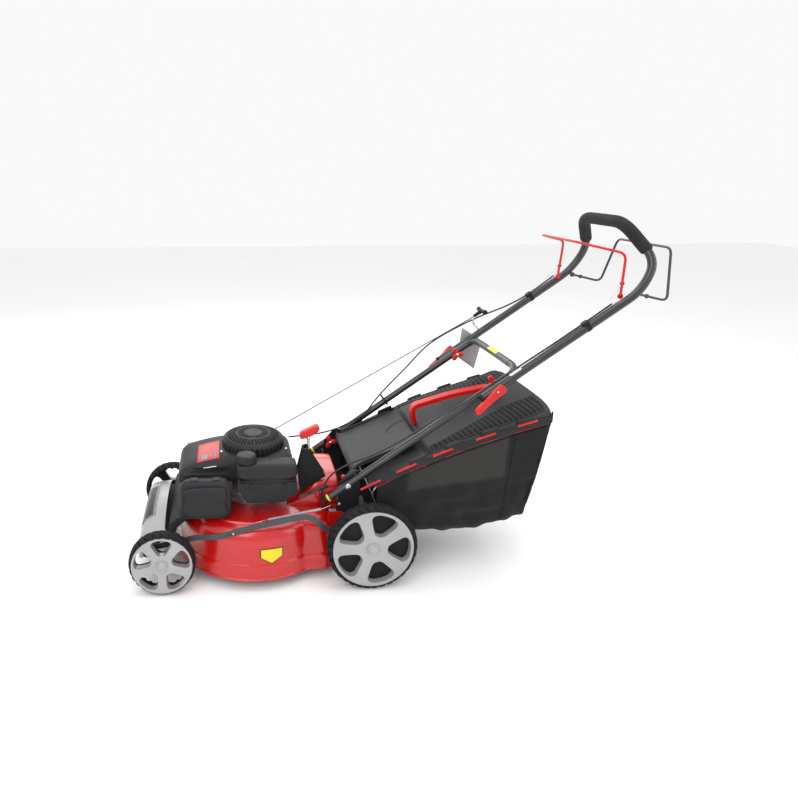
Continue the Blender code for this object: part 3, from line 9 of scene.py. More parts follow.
import bmesh
import bpy
import numpy as np
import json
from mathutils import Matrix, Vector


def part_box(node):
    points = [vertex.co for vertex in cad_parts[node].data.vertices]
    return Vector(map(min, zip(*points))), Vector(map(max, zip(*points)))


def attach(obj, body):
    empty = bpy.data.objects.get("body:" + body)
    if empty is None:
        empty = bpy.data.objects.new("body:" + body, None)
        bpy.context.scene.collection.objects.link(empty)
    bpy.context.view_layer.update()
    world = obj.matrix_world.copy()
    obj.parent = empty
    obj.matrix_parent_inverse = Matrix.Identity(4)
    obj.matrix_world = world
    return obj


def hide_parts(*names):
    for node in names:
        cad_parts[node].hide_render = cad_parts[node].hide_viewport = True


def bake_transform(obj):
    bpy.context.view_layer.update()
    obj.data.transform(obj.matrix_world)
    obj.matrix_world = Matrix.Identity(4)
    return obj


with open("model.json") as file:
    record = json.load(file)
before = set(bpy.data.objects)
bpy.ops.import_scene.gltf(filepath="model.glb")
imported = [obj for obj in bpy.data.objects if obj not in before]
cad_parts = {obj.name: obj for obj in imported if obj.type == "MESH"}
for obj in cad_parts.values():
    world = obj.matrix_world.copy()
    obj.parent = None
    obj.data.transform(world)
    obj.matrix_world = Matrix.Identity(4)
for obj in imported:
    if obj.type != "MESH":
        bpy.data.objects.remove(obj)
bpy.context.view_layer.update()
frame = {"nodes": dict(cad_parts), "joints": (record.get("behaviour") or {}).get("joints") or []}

NODES = frame["nodes"]
WHEEL_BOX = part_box("front_left_wheel")
SHIFT = np.array([(WHEEL_BOX[0].x + WHEEL_BOX[1].x) / 2, 0.0, 0.0])
PIN = {j["name"]: np.array(j["pos_m"], float) - SHIFT for j in frame["joints"] if "pos_m" in j}
TAU = 2 * math.pi

# ---------------------------------------------------------------- sizes shared with the frame
FRONT_R = 0.1015
REAR_R = 0.1395
TREAD = 0.045
REAR_X = PIN["rear_left_wheel_spin"][0]
SPINDLE_X = PIN["blade_spin"][0]
CUT_RADIUS = 0.253
FRONT_FACE = 0.262
REAR_FACE = 0.273
DECK_REAR_X = REAR_X - 0.095
DECK_TOP_Z = 0.205
RIM_Z = 0.035
OUTLINE_POINTS = 220
SLOPE = math.radians(35.5)
ALONG = np.array([math.cos(SLOPE), 0.0, math.sin(SLOPE)])
ABOVE = np.array([-math.sin(SLOPE), 0.0, math.cos(SLOPE)])
LOWER_BOLT = PIN["lower_handle_fold"]
HANDLE_JOINT = PIN["upper_handle_fold"]
HANDLE_BEND = HANDLE_JOINT + ALONG * 0.498
FLAP_ROD = PIN["rear_flap_lift"]
BRAKE_PIN = PIN["brake_bail_squeeze"]
DRIVE_PIN = PIN["drive_bail_squeeze"]
HANDLE_HALF = 0.203
LOWER_HALF = 0.179
TUBE_R = 0.0125
LOWER_TUBE_R = 0.011
BAIL_R = 0.0038
BAG_HALF = 0.213
BAG_FRONT_X = FLAP_ROD[0] + 0.034
BAG_LENGTH = 0.566
BAG_LEAN = 0.19
LID_STEP_T = 0.315
FLAP_SLOPE = math.radians(23)
FLAP_LENGTH = 0.228
FLAP_HALF = 0.140
DOME_R = 0.103
DOME_Z = 0.352
SIDES = (("left", -1), ("right", 1))


# ---------------------------------------------------------------- finishes
def node(tree, kind, **values):
    """A shader node with its sockets set by name; a tuple (node, output) links instead."""
    made = tree.nodes.new("ShaderNode" + kind)
    for name, value in values.items():
        if hasattr(made, name):
            setattr(made, name, value)
            continue
        numbered = name[0] == "i" and name[1:].isdigit()
        socket = made.inputs[int(name[1:]) if numbered else name.replace("_", " ")]
        if isinstance(value, tuple) and len(value) == 2 and hasattr(value[0], "outputs"):
            tree.links.new(value[0].outputs[value[1]], socket)
        else:
            socket.default_value = value
    return made


def mixed(tree, share, first, second):
    """Colour between two tones by a share, each a plain colour or a (node, output) link."""
    made = tree.nodes.new("ShaderNodeMix")
    made.data_type = "RGBA"
    tree.links.new(share[0].outputs[share[1]], made.inputs[0])
    for socket, value in ((made.inputs[6], first), (made.inputs[7], second)):
        if hasattr(value[0], "outputs"):
            tree.links.new(value[0].outputs[value[1]], socket)
        else:
            socket.default_value = (*value, 1)
    return made, 2


def finish(name, tone, second, rough, cloud=9.0, grain=(900.0, 0.12, 0.0002), metallic=0.0, coat=0.0,
           painted_shade=None, stretch=(1, 1, 1), streak=None, specular=0.5, sheen=0.0):
    """Two tones drift by a soft noise, the gloss by a finer one, and a fine noise gives the grain.

    An attribute, when one is named, paints shade into the recesses in near black; `streak` is (scale, share)
    of rubbed marks.
    """
    made = bpy.data.materials.new(name)
    made.use_nodes = True
    tree = made.node_tree
    shader = tree.nodes["Principled BSDF"]
    place = node(tree, "TexCoord")
    at = node(tree, "Mapping", Vector=(place, "Object"), Scale=stretch)
    soft = node(tree, "TexNoise", Vector=(at, 0), Scale=cloud, Detail=5.0)
    drift = node(tree, "MapRange", Value=(soft, 0))
    drift.inputs["From Min"].default_value = 0.32
    drift.inputs["From Max"].default_value = 0.70
    colour = mixed(tree, (drift, 0), tone, second)
    if streak:
        marks = node(tree, "TexNoise", Vector=(at, 0), Scale=streak[0], Detail=9.0, Roughness=0.75)
        worn = node(tree, "MapRange", Value=(marks, 0))
        worn.inputs["From Min"].default_value = 0.62
        worn.inputs["From Max"].default_value = 0.74
        worn.inputs["To Max"].default_value = streak[1]
        lighter = tuple(min(1.0, c * 1.5 + 0.03) for c in tone)
        colour = mixed(tree, (worn, 0), colour, lighter)
    # painted shade: the named attribute mixes near black into the colour in the recesses
    if painted_shade:
        painted_shade_share = node(tree, "Attribute", attribute_name=painted_shade)
        colour = mixed(tree, (painted_shade_share, "Fac"), colour, (0.004, 0.004, 0.004))
    tree.links.new(colour[0].outputs[colour[1]], shader.inputs["Base Color"])
    fine = node(tree, "TexNoise", Vector=(at, 0), Scale=cloud * 7, Detail=6.0)
    gloss = node(tree, "MapRange", Value=(fine, 0))
    gloss.inputs["To Min"].default_value = rough[0]
    gloss.inputs["To Max"].default_value = rough[1]
    tree.links.new(gloss.outputs[0], shader.inputs["Roughness"])
    tooth = node(tree, "TexNoise", Vector=(at, 0), Scale=grain[0], Detail=3.0)
    bump = node(tree, "Bump", Height=(tooth, 0), Strength=grain[1], Distance=grain[2])
    tree.links.new(bump.outputs[0], shader.inputs["Normal"])
    shader.inputs["Metallic"].default_value = metallic
    shader.inputs["Coat Weight"].default_value = coat
    shader.inputs["Coat Roughness"].default_value = 0.06
    shader.inputs["Specular IOR Level"].default_value = specular
    shader.inputs["Sheen Weight"].default_value = sheen
    return made


def woven(name, tone, thread, open_tone):
    """Plain weave on the cloth's own measures: two crossed waves; `panel` opens it into a netting."""
    made = bpy.data.materials.new(name)
    made.use_nodes = True
    tree = made.node_tree
    shader = tree.nodes["Principled BSDF"]
    along = node(tree, "Attribute", attribute_name="along")
    across = node(tree, "Attribute", attribute_name="across")
    panel = node(tree, "Attribute", attribute_name="panel")
    flat = node(tree, "CombineXYZ", X=(along, "Fac"), Y=(across, "Fac"))
    warp = node(tree, "TexWave", Vector=(flat, 0), Scale=95.0, Distortion=0.6, Detail=2.0,
                bands_direction="X")
    weft = node(tree, "TexWave", Vector=(flat, 0), Scale=95.0, Distortion=0.6, Detail=2.0,
                bands_direction="Y")
    cross = node(tree, "Math", operation="MULTIPLY")
    tree.links.new(warp.outputs["Fac"], cross.inputs[0])
    tree.links.new(weft.outputs["Fac"], cross.inputs[1])
    cloud = node(tree, "TexNoise", Vector=(flat, 0), Scale=14.0, Detail=7.0, Roughness=0.65)
    drift = node(tree, "MapRange", Value=(cloud, 0))
    drift.inputs["From Min"].default_value = 0.35
    drift.inputs["From Max"].default_value = 0.70
    cloth = mixed(tree, (cross, 0), tone, thread)
    worn = mixed(tree, (drift, 0), cloth, tuple(c * 0.75 for c in tone))
    net = mixed(tree, (warp, "Fac"), tone, open_tone)
    blotch = mixed(tree, (drift, 0), net, tuple(c * 0.55 for c in open_tone))
    colour = mixed(tree, (panel, "Fac"), worn, blotch)
    tree.links.new(colour[0].outputs[colour[1]], shader.inputs["Base Color"])
    bump = node(tree, "Bump", Height=(cross, 0), Strength=0.35, Distance=0.0004)
    tree.links.new(bump.outputs[0], shader.inputs["Normal"])
    shader.inputs["Roughness"].default_value = 0.78
    shader.inputs["Sheen Weight"].default_value = 0.10
    shader.inputs["Specular IOR Level"].default_value = 0.25
    shader.inputs["Sheen Roughness"].default_value = 0.45
    return made


def foam(name):
    """Closed-cell foam: fine Voronoi pits over a soft noise."""
    made = finish(name, (0.009, 0.009, 0.0095), (0.015, 0.015, 0.0155), (0.85, 1.0), cloud=30.0)
    tree = made.node_tree
    place = node(tree, "TexCoord")
    cells = node(tree, "TexVoronoi", Vector=(place, "Object"), Scale=620.0)
    bump = node(tree, "Bump", Height=(cells, 0), Strength=0.55, Distance=0.0006)
    tree.links.new(bump.outputs[0], tree.nodes["Principled BSDF"].inputs["Normal"])
    return made


RED_PAINT = finish("red_enamel", (0.50, 0.004, 0.004), (0.43, 0.003, 0.003), (0.20, 0.30), cloud=5.0,
                   grain=(260.0, 0.05, 0.0004), coat=0.45, streak=(40.0, 0.06))
RED_PLASTIC = finish("red_plastic", (0.56, 0.010, 0.009), (0.48, 0.006, 0.006), (0.32, 0.46), cloud=30.0,
                     grain=(1500.0, 0.15, 0.0002), streak=(120.0, 0.08), specular=0.4)
CHARCOAL = finish("charcoal_plastic", (0.017, 0.0175, 0.019), (0.023, 0.0235, 0.025), (0.40, 0.55),
                  cloud=14.0,
                  grain=(1400.0, 0.30, 0.0003), streak=(60.0, 0.10), specular=0.18)
# Dome and vent plastics: the recess attribute paints near-black shade into their slots.
DOME_BLACK = finish("dome_plastic", (0.015, 0.0155, 0.017), (0.021, 0.0215, 0.023), (0.38, 0.52), cloud=14.0,
                    grain=(1400.0, 0.30, 0.0003), painted_shade="recess", specular=0.18)
LID_GREY = finish("lid_plastic", (0.028, 0.0285, 0.030), (0.035, 0.0355, 0.037), (0.42, 0.56), cloud=8.0,
                  grain=(1200.0, 0.35, 0.0003), streak=(50.0, 0.10), specular=0.18)
VENT_GREY = finish("vent_plastic", (0.026, 0.0265, 0.028), (0.032, 0.0325, 0.034), (0.45, 0.60), cloud=8.0,
                   grain=(1200.0, 0.30, 0.0003), painted_shade="recess", specular=0.15)
DARK_PLASTIC = finish("dark_plastic", (0.008, 0.0082, 0.009), (0.013, 0.0135, 0.014), (0.45, 0.60),
                      cloud=20.0,
                      grain=(1400.0, 0.25, 0.0003), streak=(80.0, 0.12), specular=0.15)
SILVER = finish("silver_lacquer", (0.36, 0.36, 0.365), (0.31, 0.31, 0.315), (0.30, 0.42), cloud=12.0,
                grain=(2200.0, 0.12, 0.0002), metallic=0.35, coat=0.25, streak=(70.0, 0.20))
NOSE_SILVER = finish("nose_lacquer", (0.38, 0.38, 0.385), (0.33, 0.33, 0.335), (0.28, 0.40), cloud=10.0,
                     grain=(2200.0, 0.12, 0.0002), metallic=0.30, coat=0.3)
TYRE = finish("tyre_rubber", (0.010, 0.010, 0.0105), (0.018, 0.018, 0.018), (0.62, 0.82), cloud=22.0,
              grain=(700.0, 0.40, 0.0004), streak=(45.0, 0.35), specular=0.15)
CAST = finish("cast_aluminium", (0.40, 0.40, 0.41), (0.28, 0.28, 0.29), (0.38, 0.60), cloud=30.0,
              grain=(500.0, 0.50, 0.0006), metallic=0.85)
SPRING_STEEL = finish("zinc_plate", (0.60, 0.60, 0.61), (0.45, 0.45, 0.47), (0.22, 0.40), cloud=40.0,
                      grain=(900.0, 0.15, 0.0002), metallic=1.0)
TUBE_PAINT = finish("tube_enamel", (0.011, 0.012, 0.0135), (0.016, 0.017, 0.019), (0.28, 0.42), cloud=12.0,
                    grain=(700.0, 0.10, 0.0003), coat=0.25, streak=(60.0, 0.12))
GREY_TUBE = finish("grey_tube_enamel", (0.035, 0.036, 0.038), (0.045, 0.046, 0.048), (0.32, 0.46),
                   cloud=12.0,
                   grain=(700.0, 0.10, 0.0003), coat=0.2)
LINK_PAINT = finish("link_enamel", (0.030, 0.040, 0.044), (0.040, 0.050, 0.054), (0.38, 0.52), cloud=18.0,
                    grain=(500.0, 0.20, 0.0003), streak=(50.0, 0.30))
CABLE = finish("cable_sheath", (0.007, 0.007, 0.0075), (0.012, 0.012, 0.0125), (0.40, 0.55), cloud=40.0,
               grain=(1500.0, 0.20, 0.0002))
ROPE = finish("rope_fibre", (0.030, 0.030, 0.030), (0.060, 0.058, 0.055), (0.75, 0.90), cloud=400.0,
              grain=(1800.0, 0.8, 0.0006))
YELLOW = finish("yellow_film", (0.75, 0.58, 0.004), (0.70, 0.53, 0.004), (0.30, 0.42), cloud=40.0)
INK = finish("dark_film", (0.012, 0.012, 0.013), (0.020, 0.020, 0.021), (0.30, 0.42), cloud=40.0)
RED_FILM = finish("red_film", (0.50, 0.010, 0.008), (0.42, 0.007, 0.006), (0.28, 0.40), cloud=30.0)
WHITE_FILM = finish("pale_film", (0.74, 0.74, 0.74), (0.66, 0.66, 0.67), (0.35, 0.50), cloud=30.0)
GREY_FILM = finish("grey_film", (0.20, 0.20, 0.21), (0.15, 0.15, 0.16), (0.30, 0.42), cloud=40.0)
CARD = finish("card", (0.42, 0.39, 0.39), (0.37, 0.34, 0.34), (0.70, 0.85), cloud=18.0,
              grain=(600.0, 0.2, 0.0003))
FOAM = foam("grip_foam_cells")
CLOTH = woven("bag_weave", (0.006, 0.006, 0.0065), (0.016, 0.016, 0.017), (0.045, 0.043, 0.040))
PIPING = finish("red_piping", (0.52, 0.010, 0.008), (0.44, 0.007, 0.006), (0.55, 0.70), cloud=60.0,
                grain=(900.0, 0.5, 0.0005))


# ---------------------------------------------------------------- curves
def cut_corners(points, rounds=2, closed=False):
    """Each pass puts points a quarter and three quarters along every side; an open curve keeps its ends."""
    p = np.asarray(points, float)
    for _ in range(rounds):
        after = np.roll(p, -1, 0) if closed else p[1:]
        before = p if closed else p[:-1]
        made = np.stack([before * 0.75 + after * 0.25, before * 0.25 + after * 0.75], 1)
        made = made.reshape(-1, p.shape[1])
        p = made if closed else np.vstack([p[:1], made, p[-1:]])
    return p


def even(points, count, closed=False):
    """The same curve with `count` points evenly spaced along it."""
    p = np.asarray(points, float)
    if closed:
        p = np.vstack([p, p[:1]])
    far = np.r_[0, np.cumsum(np.linalg.norm(np.diff(p, axis=0), axis=1))]
    at = np.linspace(0, far[-1], count, endpoint=not closed)
    return np.stack([np.interp(at, far, p[:, k]) for k in range(p.shape[1])], 1)


def rounded(points, radius, steps=8):
    """A path whose inner corners become quadratic arcs that start `radius` before each corner."""
    p = np.asarray(points, float)
    before, corner, after = p[:-2], p[1:-1], p[2:]
    back, on = before - corner, after - corner
    shorter = np.minimum(np.linalg.norm(back, axis=1), np.linalg.norm(on, axis=1))
    reach = np.minimum(radius, shorter / 2)[:, None]
    start = corner + back / np.linalg.norm(back, axis=1)[:, None] * reach
    end = corner + on / np.linalg.norm(on, axis=1)[:, None] * reach
    t = np.linspace(0, 1, steps)[None, :, None]
    arcs = start[:, None] * (1 - t) ** 2 + corner[:, None] * 2 * t * (1 - t) + end[:, None] * t ** 2
    return np.vstack([p[:1], arcs.reshape(-1, p.shape[1]), p[-1:]])


def through(points, per_span=10):
    """Catmull-Rom curve through a route."""
    p = np.asarray(points, float)
    p = np.vstack([2 * p[0] - p[1], p, 2 * p[-1] - p[-2]])
    a, b, c, d = (p[i:len(p) - 3 + i, None] for i in range(4))
    t = np.linspace(0, 1, per_span, endpoint=False)[None, :, None]
    curve = 0.5 * (2 * b + (c - a) * t + (2 * a - 5 * b + 4 * c - d) * t ** 2
                   + (3 * b - a - 3 * c + d) * t ** 3)
    return np.vstack([curve.reshape(-1, p.shape[1]), p[-2]])


def ease(value, low, high):
    """0 below low, 1 above high, with a smooth cubic between."""
    t = np.clip((value - low) / (high - low), 0, 1)
    return t * t * (3 - 2 * t)


def ring(radius, count):
    """Points of a circle of this radius: point i stands at the angle i * TAU / count."""
    a = np.arange(count) * TAU / count
    return np.stack([radius * np.cos(a), radius * np.sin(a)], 1)


def box_outline(wide, high, corner, count=48):
    """Rounded rectangle about the origin: four quarter arcs joined by straight sides."""
    a = np.linspace(0, TAU, count, endpoint=False)
    x = np.sign(np.cos(a)) * (wide / 2 - corner) + corner * np.cos(a)
    y = np.sign(np.sin(a)) * (high / 2 - corner) + corner * np.sin(a)
    return even(np.stack([x, y], 1), count, closed=True)


# ---------------------------------------------------------------- surfaces
def skin(grid, around=True, capped=True):
    """Quads over a (rows, columns, 3) grid; closed round its columns and capped by fans at both ends."""
    rows, columns = grid.shape[:2]
    points = grid.reshape(-1, 3)
    index = np.arange(rows * columns).reshape(rows, columns)
    left = index if around else index[:, :-1]
    right = np.roll(index, -1, 1) if around else index[:, 1:]
    faces = np.stack([left[:-1], right[:-1], right[1:], left[1:]], -1).reshape(-1, 4).tolist()
    if capped:
        for row in (0, -1):
            edge = index[row]
            centre = np.full(columns, len(points))
            points = np.vstack([points, grid[row].mean(0)])
            fan = np.stack([edge, np.roll(edge, -1), centre], -1)
            faces += (fan[:, ::-1] if row == 0 else fan).tolist()
    return points, faces


def swept(path, section, up=(0, 1, 0), level=False):
    """A section of (side, up) points carried along a path; its up side is passed on from point to point."""
    path = np.asarray(path, float)
    tangent = np.gradient(path, axis=0)
    tangent /= np.linalg.norm(tangent, axis=1)[:, None]
    hold = np.array(up, float)
    holds = []
    for t in tangent:
        hold = np.array(up, float) if level else hold
        hold = hold - t * (hold @ t)
        hold = hold / np.linalg.norm(hold)
        holds.append(hold)
    holds = np.array(holds)
    side = np.cross(tangent, holds)
    section = np.asarray(section, float)
    if section.ndim == 2:
        section = section[None]
    return path[:, None] + side[:, None] * section[..., :1] + holds[:, None] * section[..., 1:]


def rod(path, radius, sides=16, up=(0, 1, 0)):
    """A round bar; radius is one value or one for each point of the path, and the ends are domed."""
    path = np.asarray(path, float)
    radius = np.broadcast_to(np.asarray(radius, float), len(path))
    tips = []
    for end, inner, r in ((path[0], path[1], radius[0]), (path[-1], path[-2], radius[-1])):
        out = (end - inner) / np.linalg.norm(end - inner)
        a = np.radians((30, 60, 85))[:, None]
        tips.append((end + out * r * 0.35 * np.sin(a), (r * np.cos(a))[:, 0]))
    line = np.vstack([tips[0][0][::-1], path, tips[1][0]])
    wide = np.r_[tips[0][1][::-1], radius, tips[1][1]]
    return skin(swept(line, ring(1, sides)[None] * wide[:, None, None], up))


def turned(profile, centre, axis="Y", steps=64, closed=False):
    """A profile of (radius, height) turned round an axis through `centre`."""
    profile = np.asarray(profile, float)
    if closed:
        profile = np.vstack([profile, profile[:1]])
    a = np.arange(steps) * TAU / steps
    r, h = profile[:, :1], profile[:, 1:]
    u, v = r * np.cos(a), r * np.sin(a)
    w = np.broadcast_to(h, u.shape)
    order = {"X": (w, u, v), "Y": (u, w, v), "Z": (u, v, w)}[axis]
    return skin(np.stack(order, -1) + np.asarray(centre, float), capped=False)


def placed(points, origin, first, second, third):
    """Local (a, b, h) points set out along three directions from an origin."""
    basis = np.array([first, second, third], float)
    return points @ basis + np.asarray(origin, float)


def pressed(outline, low, high, edge, crown=0.0, bevel_rows=5):
    """A closed outline in (a, b) drawn out from h = low to high, its rims rounded by `edge`.

    The outline is drawn in along its own normals by edge * (1 - cos); the end faces rise to `crown`.
    """
    outline = np.asarray(outline, float)
    step = np.roll(outline, -1, 0) - np.roll(outline, 1, 0)
    turn = np.sum(outline[:, 0] * np.roll(outline[:, 1], -1) - outline[:, 1] * np.roll(outline[:, 0], -1))
    normal = np.stack([step[:, 1], -step[:, 0]], 1) * np.sign(turn)
    normal /= np.linalg.norm(normal, axis=1)[:, None] + 1e-12
    middle = outline.mean(0)
    a = np.linspace(0, math.pi / 2, bevel_rows)
    rows = []
    for h, way in ((low, 1), (high, -1)):
        rims = []
        flat = outline - normal * edge
        for share in (0.02, 0.4, 0.75):
            inner = middle + (flat - middle) * share
            rims.append(np.c_[inner, np.full(len(inner), h - way * crown * (1 - share ** 2))])
        for angle in a:
            inset = edge * (1 - math.sin(angle))
            height = h + way * edge * (1 - math.cos(angle))
            rims.append(np.c_[outline - normal * inset, np.full(len(outline), height)])
        rows += rims if way > 0 else rims[::-1]
    return skin(np.array(rows))


def slab(outline, low, high, edge, crown=0.0, axis="Y"):
    """`pressed` with its outline in the frame's own coordinates, drawn out along one axis."""
    points, faces = pressed(outline, low, high, edge, crown)
    order = {"X": (2, 0, 1), "Y": (0, 2, 1), "Z": (0, 1, 2)}[axis]
    return points[:, order], faces


def flipped(part):
    """The same part on the other side of the mid-plane."""
    points, faces = part
    return points * np.array([1, -1, 1]), faces


def moved(part, offset):
    """A part, given as points and faces, shifted by an offset."""
    return part[0] + np.asarray(offset, float), part[1]


def piece(name, parts, material, body, stands_for=(), crease=35, wall=0.0, soften=0.0,
          values=None):
    """One finished object from (points, faces) parts, welded, facing outwards and riding a body."""
    parts = [parts] if isinstance(parts, tuple) else list(parts)
    points, faces, start = [], [], 0
    for part_points, part_faces in parts:
        points.append(part_points)
        faces += [[i + start for i in face] for face in part_faces]
        start += len(part_points)
    mesh = bpy.data.meshes.new(name)
    mesh.from_pydata((np.vstack(points) + SHIFT).tolist(), [], faces)
    for key, numbers in (values or {}).items():
        layer = mesh.attributes.new(key, "FLOAT", "POINT")
        filled = np.zeros(start, np.float32)
        filled[:numbers.size] = np.asarray(numbers).ravel()
        layer.data.foreach_set("value", filled)
    weld(mesh)
    return dressed(name, mesh, material, body, stands_for, crease, wall, soften)


def weld(mesh, reach=1e-6):
    """Merge a mesh's doubled points and drop faces without area."""
    made = bmesh.new()
    made.from_mesh(mesh)
    bmesh.ops.remove_doubles(made, verts=made.verts[:], dist=reach)
    bmesh.ops.dissolve_degenerate(made, edges=made.edges[:], dist=1e-7)
    bmesh.ops.recalc_face_normals(made, faces=made.faces[:])
    made.to_mesh(mesh)
    made.free()


def dressed(name, mesh, material, body, stands_for, crease, wall=0.0, soften=0.0):
    """Make the object of a finished mesh, attach it to its body when one is named and hide the frame nodes it
    stands for.
    """
    made = bpy.data.objects.new(name, mesh)
    bpy.context.scene.collection.objects.link(made)
    mesh.materials.clear()
    mesh.materials.append(material)
    mesh.shade_smooth()
    mesh.set_sharp_from_angle(angle=math.radians(crease))
    if wall:
        thick = made.modifiers.new("wall", "SOLIDIFY")
        thick.thickness = wall
        thick.offset = -1
    if soften:
        bevel = made.modifiers.new("soft_edges", "BEVEL")
        bevel.width = soften
        bevel.segments = 2
        bevel.limit_method = "ANGLE"
        bevel.angle_limit = math.radians(40)
        bevel.harden_normals = True
    if isinstance(body, str):
        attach(made, body)
    else:
        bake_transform(made)
    if stands_for:
        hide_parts(*([stands_for] if isinstance(stands_for, str) else stands_for))
    return made


def refined(node_name, material, body, soften=0.0, crease=35):
    """A welded, smooth-shaded copy of a frame node, its flat areas merged so its edges can be softened."""
    mesh = NODES[node_name].data.copy()
    made = bmesh.new()
    made.from_mesh(mesh)
    bmesh.ops.remove_doubles(made, verts=made.verts[:], dist=2e-6)
    bmesh.ops.dissolve_limit(made, angle_limit=math.radians(0.6), verts=made.verts[:], edges=made.edges[:])
    made.to_mesh(mesh)
    made.free()
    return dressed(node_name + "_shape", mesh, material, body, node_name, crease, soften=soften)


# ---------------------------------------------------------------- camera, floor and light
def make_camera():
    """Camera as solved from the wheels and the handle."""
    data = bpy.data.cameras.new("camera")
    data.sensor_width = 36
    data.lens = 29.52
    data.shift_x = 0.16822
    data.shift_y = -0.09679
    camera = bpy.data.objects.new("camera", data)
    camera.location = (0.19844 + SHIFT[0], -2.02589, 1.26243)
    camera.rotation_euler = (1.343335, 0, -0.0631897)
    bpy.context.scene.collection.objects.link(camera)
    bpy.context.scene.camera = camera


def make_floor():
    """Plain floor: a flat grid just under z = 0."""
    reach = 9.0
    line = np.linspace(-reach, reach, 25)
    x, y = np.meshgrid(line, line, indexing="ij")
    z = np.full(x.shape, -0.0006)
    points, faces = skin(np.stack([x, y, z], -1), around=False, capped=False)
    mesh = bpy.data.meshes.new("floor")
    mesh.from_pydata(points.tolist(), [], faces)
    mesh.materials.append(finish("pale_floor", (0.93, 0.93, 0.93), (0.91, 0.91, 0.91), (0.75, 0.90),
                                 cloud=0.6,
                                 grain=(60.0, 0.02, 0.0002)))
    floor = bpy.data.objects.new("floor", mesh)
    bpy.context.scene.collection.objects.link(floor)


def make_light():
    """World light and lamps."""
    world = bpy.data.worlds.new("studio")
    world.use_nodes = True
    world.node_tree.nodes["Background"].inputs[0].default_value = (1, 1, 1, 1)
    world.node_tree.nodes["Background"].inputs[1].default_value = 0.95
    bpy.context.scene.world = world
    bpy.context.scene.view_settings.view_transform = "Standard"
    for name, place, size, power, aim in (
            ("key", (-1.6, -2.4, 2.6), 2.2, 48, (0, 0, 0.4)), ("top", (0.2, 0.2, 3.2), 2.6, 44, (0, 0, 0.3)),
            ("fill", (2.6, -1.6, 1.6), 1.8, 18, (0, 0, 0.4)),
                                          ("back", (-0.6, 3.0, 2.2), 2.4, 34, (0, 0, 0.4))):
        data = bpy.data.lights.new(name, "AREA")
        data.size = size
        data.energy = power
        lamp = bpy.data.objects.new(name, data)
        lamp.location = place
        way = np.array(aim) - np.array(place)
        flat = math.hypot(way[0], way[1])
        lamp.rotation_euler = (math.atan2(flat, -way[2]), 0, math.atan2(-way[0], way[1]))
        bpy.context.scene.collection.objects.link(lamp)


# ---------------------------------------------------------------- cables and rope
def beside_tube(side, distance, above, inboard=0.0):
    """A point over a handle tube, `distance` up the slope from the lower bolt."""
    point = LOWER_BOLT + ALONG * distance + ABOVE * above
    return [point[0], side * (HANDLE_HALF - inboard), point[2]]


CABLE_R = 0.0028
CLEAR = TUBE_R + CABLE_R + 0.002
BRAKE_ROUTE = [beside_tube(1, 0.985, CLEAR + 0.004, 0.006), beside_tube(1, 0.880, CLEAR, 0.002),
               beside_tube(1, 0.795, CLEAR + 0.010, 0.004), beside_tube(1, 0.660, 0.050, -0.018),
               beside_tube(1, 0.500, 0.070, -0.008), beside_tube(1, 0.370, 0.050, 0.004),
               beside_tube(1, 0.245, CLEAR + 0.010, 0.014), (LOWER_BOLT[0] + 0.122, 0.158, 0.412),
               (LOWER_BOLT[0] + 0.077, 0.153, 0.386), (LOWER_BOLT[0] + 0.020, 0.150, 0.360),
               (LOWER_BOLT[0] - 0.050, 0.142, 0.346), (SPINDLE_X + 0.131, 0.128, 0.342)]
DRIVE_ROUTE = [beside_tube(-1, 0.955, CLEAR, 0.002), beside_tube(-1, 0.860, CLEAR),
               beside_tube(-1, 0.760, CLEAR), beside_tube(-1, 0.640, CLEAR + 0.002),
               beside_tube(-1, 0.540, CLEAR + 0.004), beside_tube(-1, 0.440, CLEAR + 0.004),
               beside_tube(-1, 0.330, CLEAR + 0.006, 0.012), beside_tube(-1, 0.220, CLEAR + 0.004, 0.026),
               (LOWER_BOLT[0] + 0.080, -0.172, 0.404), (LOWER_BOLT[0] + 0.010, -0.152, 0.366),
               (LOWER_BOLT[0] - 0.045, -0.142, 0.325), (LOWER_BOLT[0] - 0.072, -0.140, 0.270),
               (LOWER_BOLT[0] - 0.076, -0.140, DECK_TOP_Z + 0.004)]
GUIDE_AT = HANDLE_JOINT + ALONG * 0.118 + np.array([0, HANDLE_HALF, 0])
GRIP_AT = GUIDE_AT + np.array([-0.028, 0, 0.058])


def make_cables():
    """Each cable is one smooth curve, cut where it lies still on the lower handle.
    """
    for name, route, cut in (("brake_cable", BRAKE_ROUTE, 5), ("drive_cable", DRIVE_ROUTE, 6)):
        curve = through(route, 12)
        at = cut * 12
        upper = (curve[:at + 1], ("lower_handle_body", "upper_handle_body", HANDLE_JOINT - ALONG * 0.045,
                                  HANDLE_JOINT + ALONG * 0.045))
        lower = (curve[at:], ("chassis", "lower_handle_body", LOWER_BOLT - ALONG * 0.020,
                              LOWER_BOLT + ALONG * 0.160))
        for part, (line, bend), node_name in (("upper", upper, name), ("lower", lower, ())):
            piece(f"{name}_{part}", rod(line, CABLE_R, 12), CABLE, bend, node_name)
    start = np.array([SPINDLE_X, 0, DOME_Z + 0.030]) + np.array([0.6, 0.8, 0]) * (DOME_R + 0.001)
    end = GRIP_AT - ALONG * 0.012
    middle = start * 0.5 + end * 0.5
    share = np.linspace(0, 1, 30)[:, None]
    low = start + (middle - start) * share
    high = middle + (end - middle) * share
    piece("starter_rope_lower", rod(low, 0.0018, 10), ROPE, ("chassis", "lower_handle_body", start, middle),
          "starter_rope")
    piece("starter_rope_upper", rod(high, 0.0018, 10), ROPE,
          ("lower_handle_body", "upper_handle_body", middle, end))
    tail = end + (GRIP_AT - end) * np.linspace(0, 1, 12)[:, None]
    piece("starter_rope_tail", rod(tail, 0.0018, 10), ROPE,
          ("upper_handle_body", "starter_body", end, GRIP_AT))


